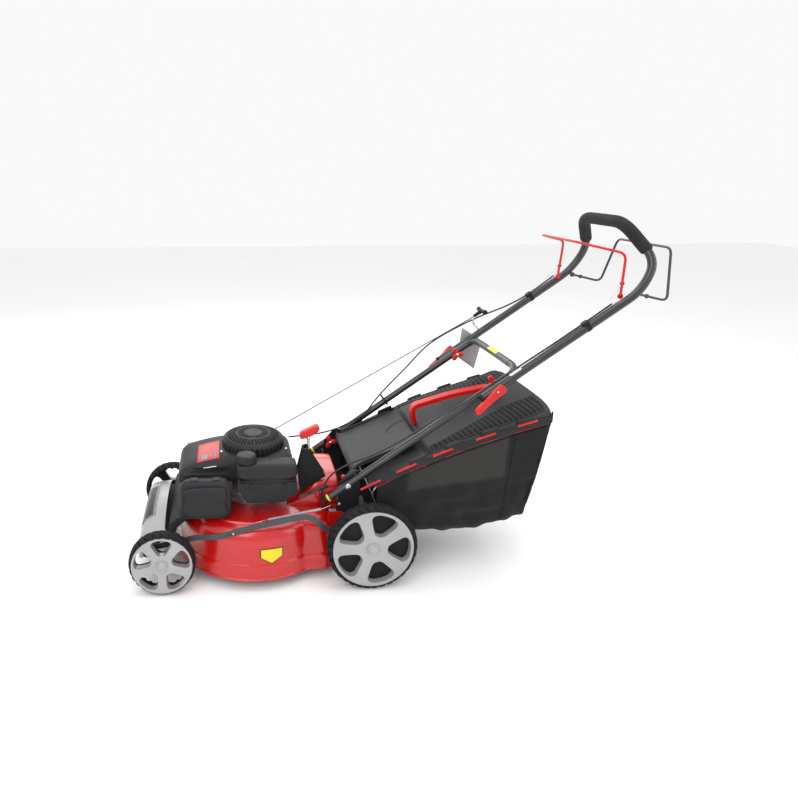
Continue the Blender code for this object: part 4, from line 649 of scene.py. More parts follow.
# ---------------------------------------------------------------- wheels
def tyre(radius, inner, face, lugs):
    """Turned tyre section. A wave of the angle cuts slanted grooves in its shoulders and crown."""
    low, high = -face, -face + TREAD
    middle = (low + high) / 2
    section = cut_corners([(inner, low + 0.006), (inner + 0.004, low + 0.001), (radius - 0.014, low),
                           (radius - 0.004, low + 0.004),
                           (radius, low + 0.012), (radius, high - 0.012), (radius - 0.004, high - 0.004),
                           (radius - 0.014, high),
                           (inner + 0.004, high - 0.001), (inner, high - 0.006)], 2, closed=True)
    section = even(section, 72, closed=True)
    steps = 360
    a = (np.arange(steps) * TAU / steps)[None]
    r = section[:, :1] * np.ones_like(a)
    y = section[:, 1:] * np.ones_like(a)
    from_middle = (y - middle) / (TREAD / 2)
    slant = np.abs(from_middle) * 0.55 + 0.25 * ease(radius - r, 0.002, 0.016)
    half_turn = np.where(from_middle > 0, 0.5, 0.0)
    phase = (a * lugs / TAU + slant + half_turn) % 1.0
    groove = ease(phase, 0.58, 0.66) * (1 - ease(phase, 0.92, 1.0))
    outer = ease(r, radius - 0.017, radius - 0.011)
    shoulder = ease(np.abs(from_middle), 0.30, 0.42)
    centre_line = 1 - ease(np.abs(from_middle), 0.05, 0.09)
    ring_line = ease(r, radius - 0.0215, radius - 0.0205) * (1 - ease(r, radius - 0.0185, radius - 0.0175))
    cut = np.maximum(groove * shoulder, centre_line * 0.5) * outer
    r = r - 0.0058 * cut
    side_cut = 0.0034 * groove * outer * ease(np.abs(from_middle), 0.8, 0.95) - 0.0007 * ring_line
    y = y - np.sign(from_middle) * side_cut
    return skin(np.stack([r * np.cos(a), y, r * np.sin(a)], -1)[np.r_[0:len(section), 0]], capped=False)


def window_disc(hub, rim, front, back, near, far, spread, draft=0.93, dish=0.0, count=5, turn=0.0, steps=48):
    """Disc with rounded windows. Each sector is a square (u, v) with a superellipse cut in it.

    Rows run from the sector's edge over the front, down the window's drafted wall and back over the rear.
    """
    theta = np.arange(steps) * TAU / steps
    c, s = np.cos(theta), np.sin(theta)
    square = np.stack([c, s], 1) / np.maximum(np.abs(c), np.abs(s))[:, None]
    power = 2 / 3.4
    u0, v0 = np.sign(c) * np.abs(c) ** power, np.sign(s) * np.abs(s) ** power
    half_u = (rim - hub) / 2
    mid_u = (rim + hub) / 2

    def window(scale):
        u = ((near + far) / 2 + (far - near) / 2 * u0 * scale - mid_u) / half_u
        narrow = spread * (0.86 + 0.14 * u0)
        return np.stack([u, v0 * narrow * scale], 1)

    edge = 0.0016
    rows, heights = [], []
    for share in (0.0, 0.35, 0.7, 0.93):
        rows.append(square * (1 - share) + window(1.05) * share)
        heights.append(front)
    for angle in np.linspace(0, math.pi / 2, 5):
        rows.append(window(1.05 - 0.05 * math.sin(angle)))
        heights.append(front + edge * (1 - math.cos(angle)))
    rows.append(window((1 + draft) / 2))
    heights.append((front + back) / 2)
    rows.append(window(draft))
    heights.append(back)
    rows.append(square)
    heights.append(back)
    parts = []
    half_a = TAU / count / 2
    for k in range(count):
        centre = turn + TAU * k / count
        grid = []
        for uv, h in zip(rows, heights):
            r = mid_u + uv[:, 0] * half_u
            a = centre + uv[:, 1] * half_a
            bowl = dish * ((r - hub) / (rim - hub)) ** 2 if h < back - 1e-6 else 0.0
            grid.append(np.stack([r * np.cos(a), h + bowl * np.ones_like(r), r * np.sin(a)], 1))
        grid = np.array(grid)
        parts.append(skin(grid, capped=False))
        outer = np.where(square[:, 0] > 0.999)[0]
        outer = outer[np.argsort(square[outer, 1])]
        parts.append(skin(grid[[0, -1]][:, outer], around=False, capped=False))
        inner = np.where(square[:, 0] < -0.999)[0]
        inner = inner[np.argsort(square[inner, 1])]
        for row in (0, -1):
            line = grid[row, inner]
            scale = np.array([1, 0.5, 0])[:, None, None]
            fan = line[None] * np.array([1, 0, 1]) * scale + line[None] * np.array([0, 1, 0])
            parts.append(skin(fan, around=False, capped=False))
    return parts


def hub_cap(radius, face):
    """Round cap with a shallow groove round it and a softly domed middle."""
    profile = [(0, face - 0.0066), (radius * 0.60, face - 0.0062), (radius * 0.68, face - 0.0042),
               (radius * 0.74, face - 0.0042), (radius * 0.80, face - 0.0060),
               (radius * 0.95, face - 0.0052),
               (radius, face - 0.0028), (radius + 0.001, face + 0.004), (0, face + 0.004)]
    return turned(cut_corners(profile, 2), (0, 0, 0), "Y", 64)


def make_wheels():
    """Each wheel, with its tyre and cover, about its own pin."""
    ends = (("front", FRONT_R, 0.0918, FRONT_FACE, 26, 0.314),
            ("rear", REAR_R, 0.1239, REAR_FACE, 34, -0.035))
    for end, radius, cover, face, lugs, turn in ends:
        for name, side in SIDES:
            axis = PIN[f"{end}_{name}_wheel_spin"]
            at = np.array([axis[0], 0, axis[2]])
            body = f"{end}_{name}_wheel_body"
            low = -face
            near, far = cover * 0.36, cover * 0.93
            through_web = end == "front"
            rubber = [tyre(radius, cover + 0.0006, face, lugs)]
            rim_wall = turned([(cover + 0.0008, low + 0.004), (cover + 0.0008, low + TREAD - 0.004),
                               (cover - 0.003, low + TREAD - 0.004), (cover - 0.003, low + 0.013),
                               (cover - 0.0002, low + 0.010)], (0, 0, 0), "Y", 120, closed=True)
            sleeve = turned([(0.0065, low + 0.014), (0.020, low + 0.014), (0.020, low + TREAD),
                             (0.0065, low + TREAD)],
                            (0, 0, 0), "Y", 48, closed=True)
            web = [rim_wall, sleeve]
            if through_web:
                web += window_disc(0.020, cover - 0.0022, low + 0.0190, low + 0.026, near, far * 0.985, 0.74,
                                   turn=turn)
            else:
                web.append(turned([(0.0065, low + 0.0195), (cover - 0.0022, low + 0.0195),
                                   (cover - 0.0022, low + 0.026),
                                   (0.0065, low + 0.026)], (0, 0, 0), "Y", 96, closed=True))
            disc = window_disc(0.020, cover, low - 0.0005, low + 0.0185, near, far, 0.74, dish=-0.0004,
                               turn=turn)
            disc.append(hub_cap(0.0185 if end == "front" else 0.021, low + 0.0006))
            for label, parts, material, slot, node_name in (
                    ("tyre", rubber, TYRE, "tyre_black", f"{end}_{name}_wheel"),
                    ("rim", web, DARK_PLASTIC, "tyre_black", ()),
                    ("trim", disc, SILVER, "wheel_silver", f"{end}_{name}_wheel_cover")):
                parts = [moved(flipped(p) if side > 0 else p, at) for p in parts]
                piece(f"{end}_{name}_{label}", parts, material, body, node_name, crease=40)


# ---------------------------------------------------------------- deck
def deck_outline(inset, half=0.200, steps=80):
    """Round chamber in front, straight sides to the rear end, drawn in by `inset`, corners cut smooth."""
    radius = CUT_RADIUS - inset
    half = half - inset
    rear = DECK_REAR_X - inset
    turn = math.asin(half / radius)
    a = np.linspace(turn, TAU - turn, steps)
    arc = np.stack([SPINDLE_X + radius * np.cos(a), radius * np.sin(a)], 1)
    line = np.vstack([[(rear, 0.0)], [(rear, half - 0.002)], arc, [(rear, -half + 0.002)]])
    return even(cut_corners(line, 2, closed=True), OUTLINE_POINTS, closed=True)


def make_deck():
    """Pressed deck: its outline is inset row by row as z rises."""
    levels = cut_corners([(-0.0045, RIM_Z), (-0.0045, RIM_Z + 0.003), (0.0, RIM_Z + 0.0045),
                          (0.0005, 0.060), (0.0005, 0.078),
                          (0.0050, 0.0855), (0.0055, 0.0865), (0.0060, 0.120), (0.0070, 0.146),
                          (0.0120, 0.172),
                          (0.0260, 0.190), (0.0450, 0.199), (0.0480, 0.2048), (0.0560, 0.2050)], 2)
    rows = [np.c_[deck_outline(inset), np.full(OUTLINE_POINTS, z)] for inset, z in levels]
    top = rows[-1]
    centre = top.mean(0)
    rows += [centre + (top - centre) * share for share in (0.75, 0.5, 0.25, 0.02)]
    piece("deck_shell", skin(np.array(rows), capped=False), RED_PAINT, "chassis", "deck",
          crease=50, wall=0.0028)
    front, rear = DECK_REAR_X - 0.150, DECK_REAR_X + 0.010
    share = np.linspace(0, 1, 40)[:, None]
    a = np.linspace(0, math.pi, 60)[None]
    lift = 0.012 + 0.085 * ease(share, 0.0, 0.62)
    half = 0.104 + 0.012 * ease(share, 0, 0.6)
    x = front + (rear - front) * share + 0 * a
    y = half * np.sign(np.cos(a)) * np.abs(np.cos(a)) ** 0.45
    z = DECK_TOP_Z - 0.012 + (lift + 0.012) * np.abs(np.sin(a)) ** 0.45
    piece("discharge_hump", skin(np.stack([x, y, z], -1), around=False, capped=False), RED_PAINT, "chassis",
          crease=50, wall=0.0025)
    for name, side in SIDES:
        refined(f"bracket_{name}", TUBE_PAINT, "chassis", soften=0.0006)
    shield = np.array([(-0.037, 0.021), (0.037, 0.021), (0.037, -0.007), (0.0, -0.030), (-0.037, -0.007)])
    for label, grow, lift, material in (("border", 1.0, 0.0006, INK), ("label", 0.90, 0.0010, YELLOW)):
        outline = even(shield * grow, 120, closed=True)
        curve = decal_on_deck(outline, SPINDLE_X + 0.045, 0.116, lift)
        piece(f"deck_{label}", curve, material, "chassis", crease=60)
    flank = even(rounded([(DECK_REAR_X, 0.062), (DECK_REAR_X + 0.036, 0.062), (DECK_REAR_X + 0.036, 0.196),
                          (DECK_REAR_X + 0.012, 0.214), (DECK_REAR_X - 0.030, 0.214),
                          (DECK_REAR_X - 0.030, 0.062),
                          (DECK_REAR_X, 0.062)], 0.006)[:-1], 80, closed=True)
    for name, side in SIDES:
        panel = slab(flank, -0.1704, -0.1684, 0.0006)
        piece(f"deck_flank_{name}", flipped(panel) if side > 0 else panel, RED_PAINT, "chassis",
              crease=45)
    for x, y, z in ((DECK_REAR_X + 0.006, -0.1685, 0.238), (DECK_REAR_X + 0.010, -0.1704, 0.150)):
        piece(f"bracket_screw_{int(z * 1000)}", screw((x, y, z), (0, -1, 0), 0.0055), SPRING_STEEL,
              "chassis")


def decal_on_deck(outline, x_middle, z_middle, lift):
    """A thin film laid round the deck's side: its x becomes an arc on the chamber's circle."""
    radius = CUT_RADIUS - 0.0052 + lift
    middle = math.acos((x_middle - SPINDLE_X) / radius)
    scale = np.linspace(1, 0.01, 8)[:, None, None]
    flat = outline[None] * scale
    a = -(middle - flat[..., 0] / radius)
    z = z_middle + flat[..., 1]
    out = radius - 0.001 * ease(z, 0.090, 0.150)
    front = np.stack([SPINDLE_X + out * np.cos(a), out * np.sin(a), z], -1)
    inner = front[:1]
    centre = np.array([SPINDLE_X, 0, 0])
    way = (inner - centre) * np.array([1, 1, 0])
    way /= np.linalg.norm(way, axis=-1)[..., None]
    return skin(np.vstack([inner - way * (lift + 0.0008), front]), capped=False)


def screw(place, way, radius, domed=True):
    """Screw head: a low dome or hexagon turned round its own axis and pointed along `way`."""
    way = np.array(way, float)
    other = np.array([0, 0, 1.0]) if abs(way[2]) < 0.9 else np.array([1.0, 0, 0])
    first = np.cross(way, other)
    first /= np.linalg.norm(first)
    second = np.cross(way, first)
    profile = [(0, 0.62), (0.35, 0.58), (0.7, 0.42), (0.95, 0.12), (1, 0), (0, 0)] if domed else \
              [(0, 0.62), (0.84, 0.62), (1.0, 0.50), (1.0, 0), (0, 0)]
    points, faces = turned(np.array(profile) * radius, (0, 0, 0), "Z", 24 if domed else 6)
    return placed(points, place, first, second, way), faces


# ---------------------------------------------------------------- nose
def make_nose():
    """Panel: rows climb and lean back over the shoulder; each is a plan curve with a wing at both ends."""
    spine = cut_corners([(0.078, -0.083, 0.014), (0.112, -0.081, 0.015), (0.122, -0.080, 0.018),
                         (0.129, -0.079, 0.054),
                         (0.138, -0.077, 0.060), (0.150, -0.074, 0.062), (0.165, -0.069, 0.058),
                         (0.180, -0.060, 0.050),
                         (0.192, -0.036, 0.034), (0.202, 0.003, 0.018)], 2)
    half, count = 0.177, 64
    rows = []
    for z, front, wing in even(spine, count):
        plan = cut_corners([(front + wing, -half), (front + 0.014, -half), (front + 0.002, -half + 0.004),
                            (front, -half + 0.022), (front - 0.001, 0), (front, half - 0.022),
                            (front + 0.002, half - 0.004), (front + 0.014, half), (front + wing, half)], 3)
        plan = even(plan, 90)
        drop = 0.035 * np.clip((z - 0.150) / 0.052, 0, 1) * (plan[:, 1] / half) ** 2
        rows.append(np.c_[plan, z - drop])
    rows = np.array(rows)
    piece("nose_panel", skin(rows, around=False, capped=False), NOSE_SILVER, "chassis",
          "nose_cover",
          crease=50, wall=0.0025)
    refined("nose_housing", CHARCOAL, "chassis", soften=0.001)
    out = np.array([-0.5, 0, 0.32]) * 0.0018
    height = rows[:, 45, 2]
    for label, (low_z, high_z), material, spread in (("badge", (0.146, 0.194), GREY_FILM, 22),
                                                     ("badge_border", (0.150, 0.191), INK, 24),
                                                     ("badge_band", (0.128, 0.144), RED_FILM, 22)):
        low, high = np.searchsorted(height, (low_z, high_z))
        lift = out * (1.5 if label == "badge_border" else 1.0)
        piece(f"nose_{label}", skin(rows[low:high, spread:90 - spread] + lift, around=False, capped=False),
              material,
              "chassis", crease=60, wall=0.0004)
    for side in (-1, 1):
        rib = slab(box_outline(0.040, 0.008, 0.003, 32) + np.array([0.060, 0.210]), -0.004, 0.004, 0.002)
        piece(f"nose_rib_{'left' if side < 0 else 'right'}", moved(rib, (0.004, side * 0.120, 0)), CHARCOAL,
              "chassis")


# ---------------------------------------------------------------- engine
def shroud_rows(n=90, m=96, lift=0.0):
    """Hoops along the hood's side line: each is a superellipse from the base over the top."""
    front, rear, base = SPINDLE_X - 0.244, SPINDLE_X + 0.127, 0.298
    line = cut_corners([(front, base), (front - 0.001, 0.322), (front + 0.022, 0.346),
                        (front + 0.100, 0.369),
                        (SPINDLE_X - 0.060, 0.381), (SPINDLE_X + 0.070, 0.381), (rear - 0.012, 0.371),
                        (rear + 0.002, 0.345), (rear, base)], 3)
    line = even(line, n)
    x, top = line[:, :1], line[:, 1:]
    a = np.linspace(0, math.pi, m)[None]
    corner = 0.030
    near_end = np.clip(np.minimum(x - front, rear - x) / corner, 0, 1)
    half = 0.112 - corner * 0.6 * (1 - np.sqrt(1 - (1 - near_end) ** 2))
    c, s = np.cos(a), np.sin(a)
    y = -half * np.sign(c) * np.abs(c) ** 0.36
    z = base + (top - base) * np.abs(s) ** 0.42
    rise = (z - base) / 0.083
    groove = ease(rise, 0.30, 0.36) * (1 - ease(rise, 0.50, 0.56)) * ease(x, front + 0.012, front + 0.03)
    groove = groove * (1 - ease(x, front + 0.15, front + 0.17)) * ease(np.abs(y), 0.095, 0.105)
    y = y - np.sign(y) * (0.0035 * groove - lift)
    return np.stack([x + 0 * a, y, z + lift], -1)


def make_engine():
    """Engine hood, fuel tank with its apron, oil cap and the small parts beside them."""
    rows = shroud_rows()
    piece("engine_hood", skin(rows, around=False, capped=False), CHARCOAL, "chassis",
          "engine_shroud",
          crease=50, wall=0.003)
    raised = shroud_rows(lift=0.0007)
    for name, (r0, r1), (c0, c1), material, extra in (
            ("hood_panel", (18, 33), (30, 50), RED_FILM, 0.0),
                                                      ("hood_panel_mark", (20, 26), (34, 45), GREY_FILM,
                                                       0.0004),
            ("hood_panel_stripe", (28, 31), (33, 47), GREY_FILM, 0.0004),
            ("hood_side_label", (22, 31), (12, 15), WHITE_FILM, 0.0)):
        patch = raised[r0:r1, c0:c1] + np.array([0, 0, extra])
        piece(name, skin(patch, around=False, capped=False), material, "chassis", crease=60, wall=0.0006)
    make_dome()
    tank = np.array([(SPINDLE_X - 0.056, 0.326), (SPINDLE_X + 0.128, 0.326), (SPINDLE_X + 0.130, 0.366),
                     (SPINDLE_X + 0.124, 0.3815), (SPINDLE_X - 0.048, 0.3815), (SPINDLE_X - 0.060, 0.367)])
    tank_line = even(cut_corners(tank, 3, closed=True), 120, closed=True)
    lip = even(cut_corners([(SPINDLE_X - 0.056, 0.3218), (SPINDLE_X + 0.128, 0.3218),
                            (SPINDLE_X + 0.130, 0.332),
                            (SPINDLE_X - 0.058, 0.332)], 3, closed=True), 80, closed=True)
    neck = turned([(0.022, 0.374), (0.0235, 0.3845), (0.0235, 0.3875), (0.019, 0.3880), (0.019, 0.374)],
                  (SPINDLE_X - 0.028, -0.146, 0), "Z", 48, closed=True)
    piece("tank_shell", [slab(tank_line, -0.181, -0.1106, 0.013, 0.002), slab(lip, -0.1795, -0.1106, 0.003),
                         neck], CHARCOAL, "chassis", "fuel_tank", crease=50)
    make_cap()
    left, right, low, top = SPINDLE_X - 0.056, SPINDLE_X + 0.130, 0.2525, 0.3212
    plate = rounded([(left + 0.02, top), (left, top), (left, 0.300), (left + 0.020, low + 0.012),
                     (left + 0.030, low),
                     (right - 0.040, low), (right - 0.026, low + 0.020), (right, low + 0.026), (right, top),
                     (left + 0.02, top)], 0.006)
    plate = even(plate[:-1], 120, closed=True)
    bosses = [slab(box_outline(0.010, 0.022, 0.004, 40) + np.array([x, 0.306]), -0.177, -0.170, 0.002)
              for x in (left + 0.042, right - 0.040)]
    flange = slab(box_outline(right - left - 0.004, 0.005, 0.002,
                              40) + np.array([(left + right) / 2, 0.318]),
                  -0.171, -0.121, 0.001)
    piece("tank_apron", [slab(plate, -0.1725, -0.1675, 0.0012), flange, *bosses], CHARCOAL, "chassis",
          "tank_skirt", crease=45)
    make_filter()
    for name, material, slot, soften in (("engine_block", CAST, "cast_metal", 0.0008),
                                         ("carburettor", CAST, "cast_metal", 0.0005),
                                         ("muffler", CAST, "cast_metal", 0.0005)):
        refined(name, material, "chassis", soften=soften)
    refined("oil_cap", DARK_PLASTIC, "oil_cap_body", soften=0.0006)
    rods = [rod(through([(SPINDLE_X - 0.070, -0.105, 0.262), (SPINDLE_X - 0.045, -0.118, 0.256),
                         (SPINDLE_X - 0.010, -0.112, 0.262), (SPINDLE_X + 0.012, -0.100, 0.258)], 8),
                0.0012, 8),
            rod([(SPINDLE_X - 0.020, -0.118, 0.262), (SPINDLE_X - 0.018, -0.118, 0.212)], 0.0016, 8),
            rod([(SPINDLE_X - 0.006, -0.116, 0.258), (SPINDLE_X - 0.008, -0.116, 0.214)], 0.0014, 8),
            slab(box_outline(0.026, 0.012, 0.003, 32) + np.array([SPINDLE_X - 0.012, 0.238]), -0.122,
                 -0.1195, 0.0005),
            slab(box_outline(0.014, 0.034, 0.003, 32) + np.array([SPINDLE_X + 0.020, 0.236]), -0.108,
                 -0.1055, 0.0005)]
    piece("governor_linkage", rods, SPRING_STEEL, "chassis")
    heads = [screw((SPINDLE_X - 0.012, -0.122, 0.2405), (0, -1, 0), 0.0045, False),
             screw((SPINDLE_X + 0.020, -0.108, 0.244), (0, -1, 0), 0.0045, False),
             screw((SPINDLE_X - 0.105, -0.062, 0.3795), (0, 0, 1), 0.0052),
             screw((SPINDLE_X + 0.104, -0.055, 0.3805), (0, 0, 1), 0.0048)]
    piece("engine_screws", heads, SPRING_STEEL, "chassis")


def make_dome():
    """Turned cup whose top is cut by two rings of radial slots and whose skirt is notched all round."""
    line = even(cut_corners([(DOME_R, DOME_Z), (DOME_R, DOME_Z + 0.030), (DOME_R - 0.001, DOME_Z + 0.042),
                             (DOME_R - 0.007, DOME_Z + 0.053), (DOME_R - 0.028, DOME_Z + 0.0625),
                             (DOME_R - 0.060, DOME_Z + 0.0655), (0, DOME_Z + 0.066)], 2), 110)
    steps = 640
    a = (np.arange(steps) * TAU / steps)[None]
    r, z = line[:, :1] + 0 * a, line[:, 1:] + 0 * a
    recess = 0 * r
    for inner, outer, count, share in ((0.030, 0.052, 30, 0.55), (0.057, 0.086, 44, 0.55)):
        phase = np.abs((a * count / TAU) % 1.0 - 0.5) * 2
        slot = (1 - ease(phase, share - 0.10, share + 0.06))
        band = ease(r, inner, inner + 0.0015) * (1 - ease(r, outer - 0.0015, outer))
        recess = np.maximum(recess, slot * band)
    top = ease(z, DOME_Z + 0.050, DOME_Z + 0.055)
    recess = recess * top
    phase = np.abs((a * 40 / TAU) % 1.0 - 0.5) * 2
    notch = ((1 - ease(phase, 0.42, 0.60)) * ease(z, DOME_Z + 0.010, DOME_Z + 0.014)
             * (1 - ease(z, DOME_Z + 0.040, DOME_Z + 0.046)))
    notch = notch * ease(r, DOME_R - 0.006, DOME_R - 0.002)
    z = z - 0.0035 * recess
    r = r - 0.0035 * notch
    grid = np.stack([r * np.cos(a), r * np.sin(a), z], -1) + np.array([SPINDLE_X, 0, 0])
    # painted shade: the slots at full strength and the skirt notches at half strength are darkened by colour
    # through the recess attribute
    shade = np.maximum(recess, 0.5 * notch)
    piece("starter_dome", skin(grid, capped=False), DOME_BLACK, "chassis", "recoil_dome",
          crease=60,
          values={"recess": shade})
    collar = turned([(DOME_R + 0.001, DOME_Z - 0.004), (DOME_R + 0.006, DOME_Z - 0.002),
                     (DOME_R + 0.0065, DOME_Z + 0.012),
                     (DOME_R + 0.004, DOME_Z + 0.015), (DOME_R + 0.0005, DOME_Z + 0.015)],
                    (SPINDLE_X, 0, 0), "Z", 120,
                    closed=True)
    piece("dome_collar", collar, CHARCOAL, "chassis", crease=40)


def make_cap():
    """Knurled cap: the rim's radius follows a rounded wave of the angle."""
    line = even(cut_corners([(0, 0.0265), (0.021, 0.0262), (0.0285, 0.0245), (0.0318, 0.0205),
                             (0.0325, 0.004), (0.0315, 0.0008),
                             (0.024, 0.0006), (0.0226, 0.0006), (0.0226, 0.0095), (0, 0.0095)], 2), 90)
    a = (np.arange(240) * TAU / 240)[None]
    r, z = line[:, :1] + 0 * a, line[:, 1:] + 0 * a
    wave = np.abs(np.cos(a * 9)) ** 0.6
    r = r - 0.0022 * (1 - wave) * ease(r, 0.024, 0.029) * (1 - ease(z, 0.0225, 0.0260))
    at = PIN["fuel_cap_turn"]
    grid = np.stack([r * np.cos(a), r * np.sin(a), z], -1) + at
    piece("tank_cap", skin(grid, capped=False), CHARCOAL, "fuel_cap_body", "fuel_cap",
          crease=50)


def make_filter():
    """Cover: a rounded square dish, with a raised panel whose sides are drawn in, two lines and two clips."""
    x0, x1, z0, z1 = SPINDLE_X - 0.234, SPINDLE_X - 0.075, 0.2115, 0.338
    centre = np.array([(x0 + x1) / 2, (z0 + z1) / 2])
    wide, high = x1 - x0, z1 - z0
    dish = box_outline(wide, high, 0.030, 160)
    rim = box_outline(wide - 0.010, high - 0.010, 0.026, 160)
    corner = [(0.44, 0.30), (0.36, 0.39), (-0.36, 0.39), (-0.44, 0.30), (-0.44, 0.19), (-0.395, 0.13)]
    panel = np.array(corner + [(-x, -z) for x, z in corner]) * np.array([wide * 0.96, high * 0.97])
    panel = even(cut_corners(panel, 2, closed=True), 200, closed=True)
    near = -0.205
    lines = [slab(box_outline(wide * 0.72, 0.0022, 0.001, 32) + centre + np.array([0, dz * high]),
                  near - 0.0012,
                  near + 0.002, 0.0006) for dz in (-0.26, 0.24)]
    lines += [slab(box_outline(wide * 0.64, 0.0016, 0.0007, 32) + centre, near - 0.0008, near + 0.002,
                   0.0005)]
    clips = [slab(box_outline(0.026, 0.010, 0.003, 40) + centre + np.array([dx, high / 2 - 0.002]), -0.185,
                  -0.163, 0.002)
             for dx in (-0.034, 0.034)]
    shell = [slab(dish + centre, -0.191, -0.1606, 0.010, 0.001), slab(rim + centre, -0.196, -0.165, 0.0035),
             slab(panel + centre, near, -0.180, 0.006, 0.0012)]
    piece("filter_cover_shell", [*shell, *lines, *clips], CHARCOAL, "filter_cover_body",
          "air_filter_cover", crease=45)
    plate = slab(box_outline(wide - 0.006, high - 0.006, 0.028, 120) + centre, -0.1598, -0.1565, 0.001)
    tray = slab(box_outline(wide - 0.044, high - 0.044, 0.016, 120) + centre, -0.1575, -0.1125, 0.003)
    piece("filter_tray", [plate, tray], CHARCOAL, "chassis", "air_filter_base", crease=45)


# ---------------------------------------------------------------- running gear
def make_gear():
    """Swing frames, link bar, spring, height lever and side struts."""
    refined("front_axle", LINK_PAINT, "front_axle_body", soften=0.0005)
    refined("rear_axle", LINK_PAINT, "rear_axle_body", soften=0.0005)
    refined("link_bar", LINK_PAINT, "link_body", soften=0.0005)
    # painted shade: a thin near-black sheet on the link bar stands for the shaded opening of its slot
    slot = slab(box_outline(0.034, 0.006, 0.0028, 40), -0.2368, -0.2352, 0.0004)
    slot = (slot[0] @ np.array([[1, 0, 0.212], [0, 1, 0], [0, 0, 1]]).astype(float), slot[1])
    piece("link_slot", moved(slot, (SPINDLE_X - 0.080, 0, 0.1845)), INK, "link_body")
    pin = screw((SPINDLE_X - 0.072, -0.2366, 0.1865), (0, -1, 0), 0.0035)
    piece("link_slot_pin", pin, SPRING_STEEL, "link_body")
    y = -CUT_RADIUS + 0.0275
    turns = 54
    share = np.linspace(0, 1, turns * 12 + 1)
    a = share * turns * TAU
    start, end = np.array([SPINDLE_X + 0.034, y, 0.2244]), np.array([SPINDLE_X + 0.197, y, 0.2548])
    line = start + (end - start) * share[:, None]
    way = (end - start) / np.linalg.norm(end - start)
    other = np.cross(way, (0, 1, 0))
    coil = line + 0.0044 * (np.outer(np.cos(a), (0, 1, 0)) + np.outer(np.sin(a), other))
    hook_low = np.array([(SPINDLE_X - 0.006, y, 0.2155), (SPINDLE_X + 0.010, y, 0.2195),
                         (SPINDLE_X + 0.030, y, 0.2235)])
    hook_high = np.array([(SPINDLE_X + 0.201, y, 0.2556), (SPINDLE_X + 0.214, y + 0.004, 0.2585),
                          (SPINDLE_X + 0.226, y + 0.006, 0.262)])
    path = np.vstack([hook_low, coil, hook_high])
    piece("balance_spring", rod(path, 0.00085, 6, up=(0.3, 0.1, 0.9)), SPRING_STEEL, "chassis",
          "helper_spring", crease=60)
    refined("lever_cover", DARK_PLASTIC, "chassis", soften=0.0012)
    lever = PIN["height_lever_swing"]
    top = np.array([DECK_REAR_X - 0.085, lever[1], 0.440])
    grip = pressed(even(cut_corners([(-0.036, -0.012), (-0.030, 0.010), (0.010, 0.0125), (0.034, 0.014),
                                     (0.036, -0.004),
                                     (0.012, -0.013), (-0.010, -0.0135)], 2, closed=True), 90, closed=True),
                   -0.0125, 0.0125, 0.0035, 0.0006)
    tilt = math.radians(21)
    grip = (placed(grip[0], top + np.array([0.002, 0, 0.012]), (math.cos(tilt), 0, math.sin(tilt)),
                   (-math.sin(tilt), 0, math.cos(tilt)), (0, -1, 0)), grip[1])
    ribs = [slab(box_outline(0.012, 0.015, 0.003, 32), -0.0065, 0.0065, 0.002)]
    ribs = [moved(r, top + np.array([-0.001, 0, -0.006])) for r in ribs]
    piece("height_grip", [grip, *ribs], RED_PLASTIC, "lever_body", "height_lever", crease=45)
    stem = rod([lever + np.array([0, 0, 0.002]), top], 0.0045, 16)
    eye = turned([(0.0, -0.005), (0.010, -0.005), (0.010, 0.005), (0.0, 0.005)], lever, "Y", 32)
    piece("height_stem", [stem, eye, screw(top + np.array([-0.001, -0.0125, -0.004]), (0, -1, 0), 0.0045,
                                           False)],
          SPRING_STEEL, "lever_body")
    strut = slab(rounded([(SPINDLE_X + 0.138, 0.262), (SPINDLE_X + 0.142, 0.252), (SPINDLE_X + 0.232, 0.286),
                          (SPINDLE_X + 0.228, 0.296), (SPINDLE_X + 0.138, 0.262)], 0.003)[:-1], -0.150,
                 -0.1465, 0.0008)
    piece("side_strut", strut, TUBE_PAINT, "chassis", crease=45)


# ---------------------------------------------------------------- bag
def lid_edge_z(t):
    """Height of the lid's edge, a parabola of t, which is 0 at the front and 1 at the rear."""
    return 0.312 + 0.292 * t - 0.080 * t * t


def lid_top_z(t):
    """Centre line of the lid: beneath the flap and parallel to it, then one step up, then levelling off."""
    x = t * BAG_LENGTH + BAG_FRONT_X - FLAP_ROD[0]
    return (FLAP_ROD[2] + x * math.tan(FLAP_SLOPE) - 0.020 + 0.018 * ease(t, LID_STEP_T, LID_STEP_T + 0.025)
            - 0.050 * np.maximum(0, t - 0.5))


def lid_section(n):
    """Half cross-section as (share of the half width, share of the height), from the edge to the middle."""
    half = cut_corners([(1, 0), (0.999, 0.20), (0.997, 0.45), (0.972, 0.62), (0.945, 0.66), (0.84, 0.86),
                        (0.62, 0.95),
                        (0.30, 0.99), (0, 1)], 2)
    return even(half, n)


def lid_grid(t, drop, back, n=46, lift=0.0, section=None):
    """The lid over arrays of stations: width times share, and edge plus height times rise."""
    half = lid_section(n) if section is None else section
    share, rise = half[:, 0], half[:, 1]
    if section is None:
        share = np.r_[-share, share[::-1][1:]]
        rise = np.r_[rise, rise[::-1][1:]]
    t, drop, back = (np.asarray(v, float)[:, None] for v in (t, drop, back))
    edge, top = lid_edge_z(t), lid_top_z(t)
    round_back = 0.020 * np.abs(share)[None] ** 6 * ease(t, 0.86, 1.0)
    x = BAG_FRONT_X + BAG_LENGTH * t + back - round_back
    z = edge + (top - edge) * rise[None] * (1 - drop) + lift
    return np.stack([x + 0 * z, BAG_HALF * share[None] + 0 * z, z], -1)


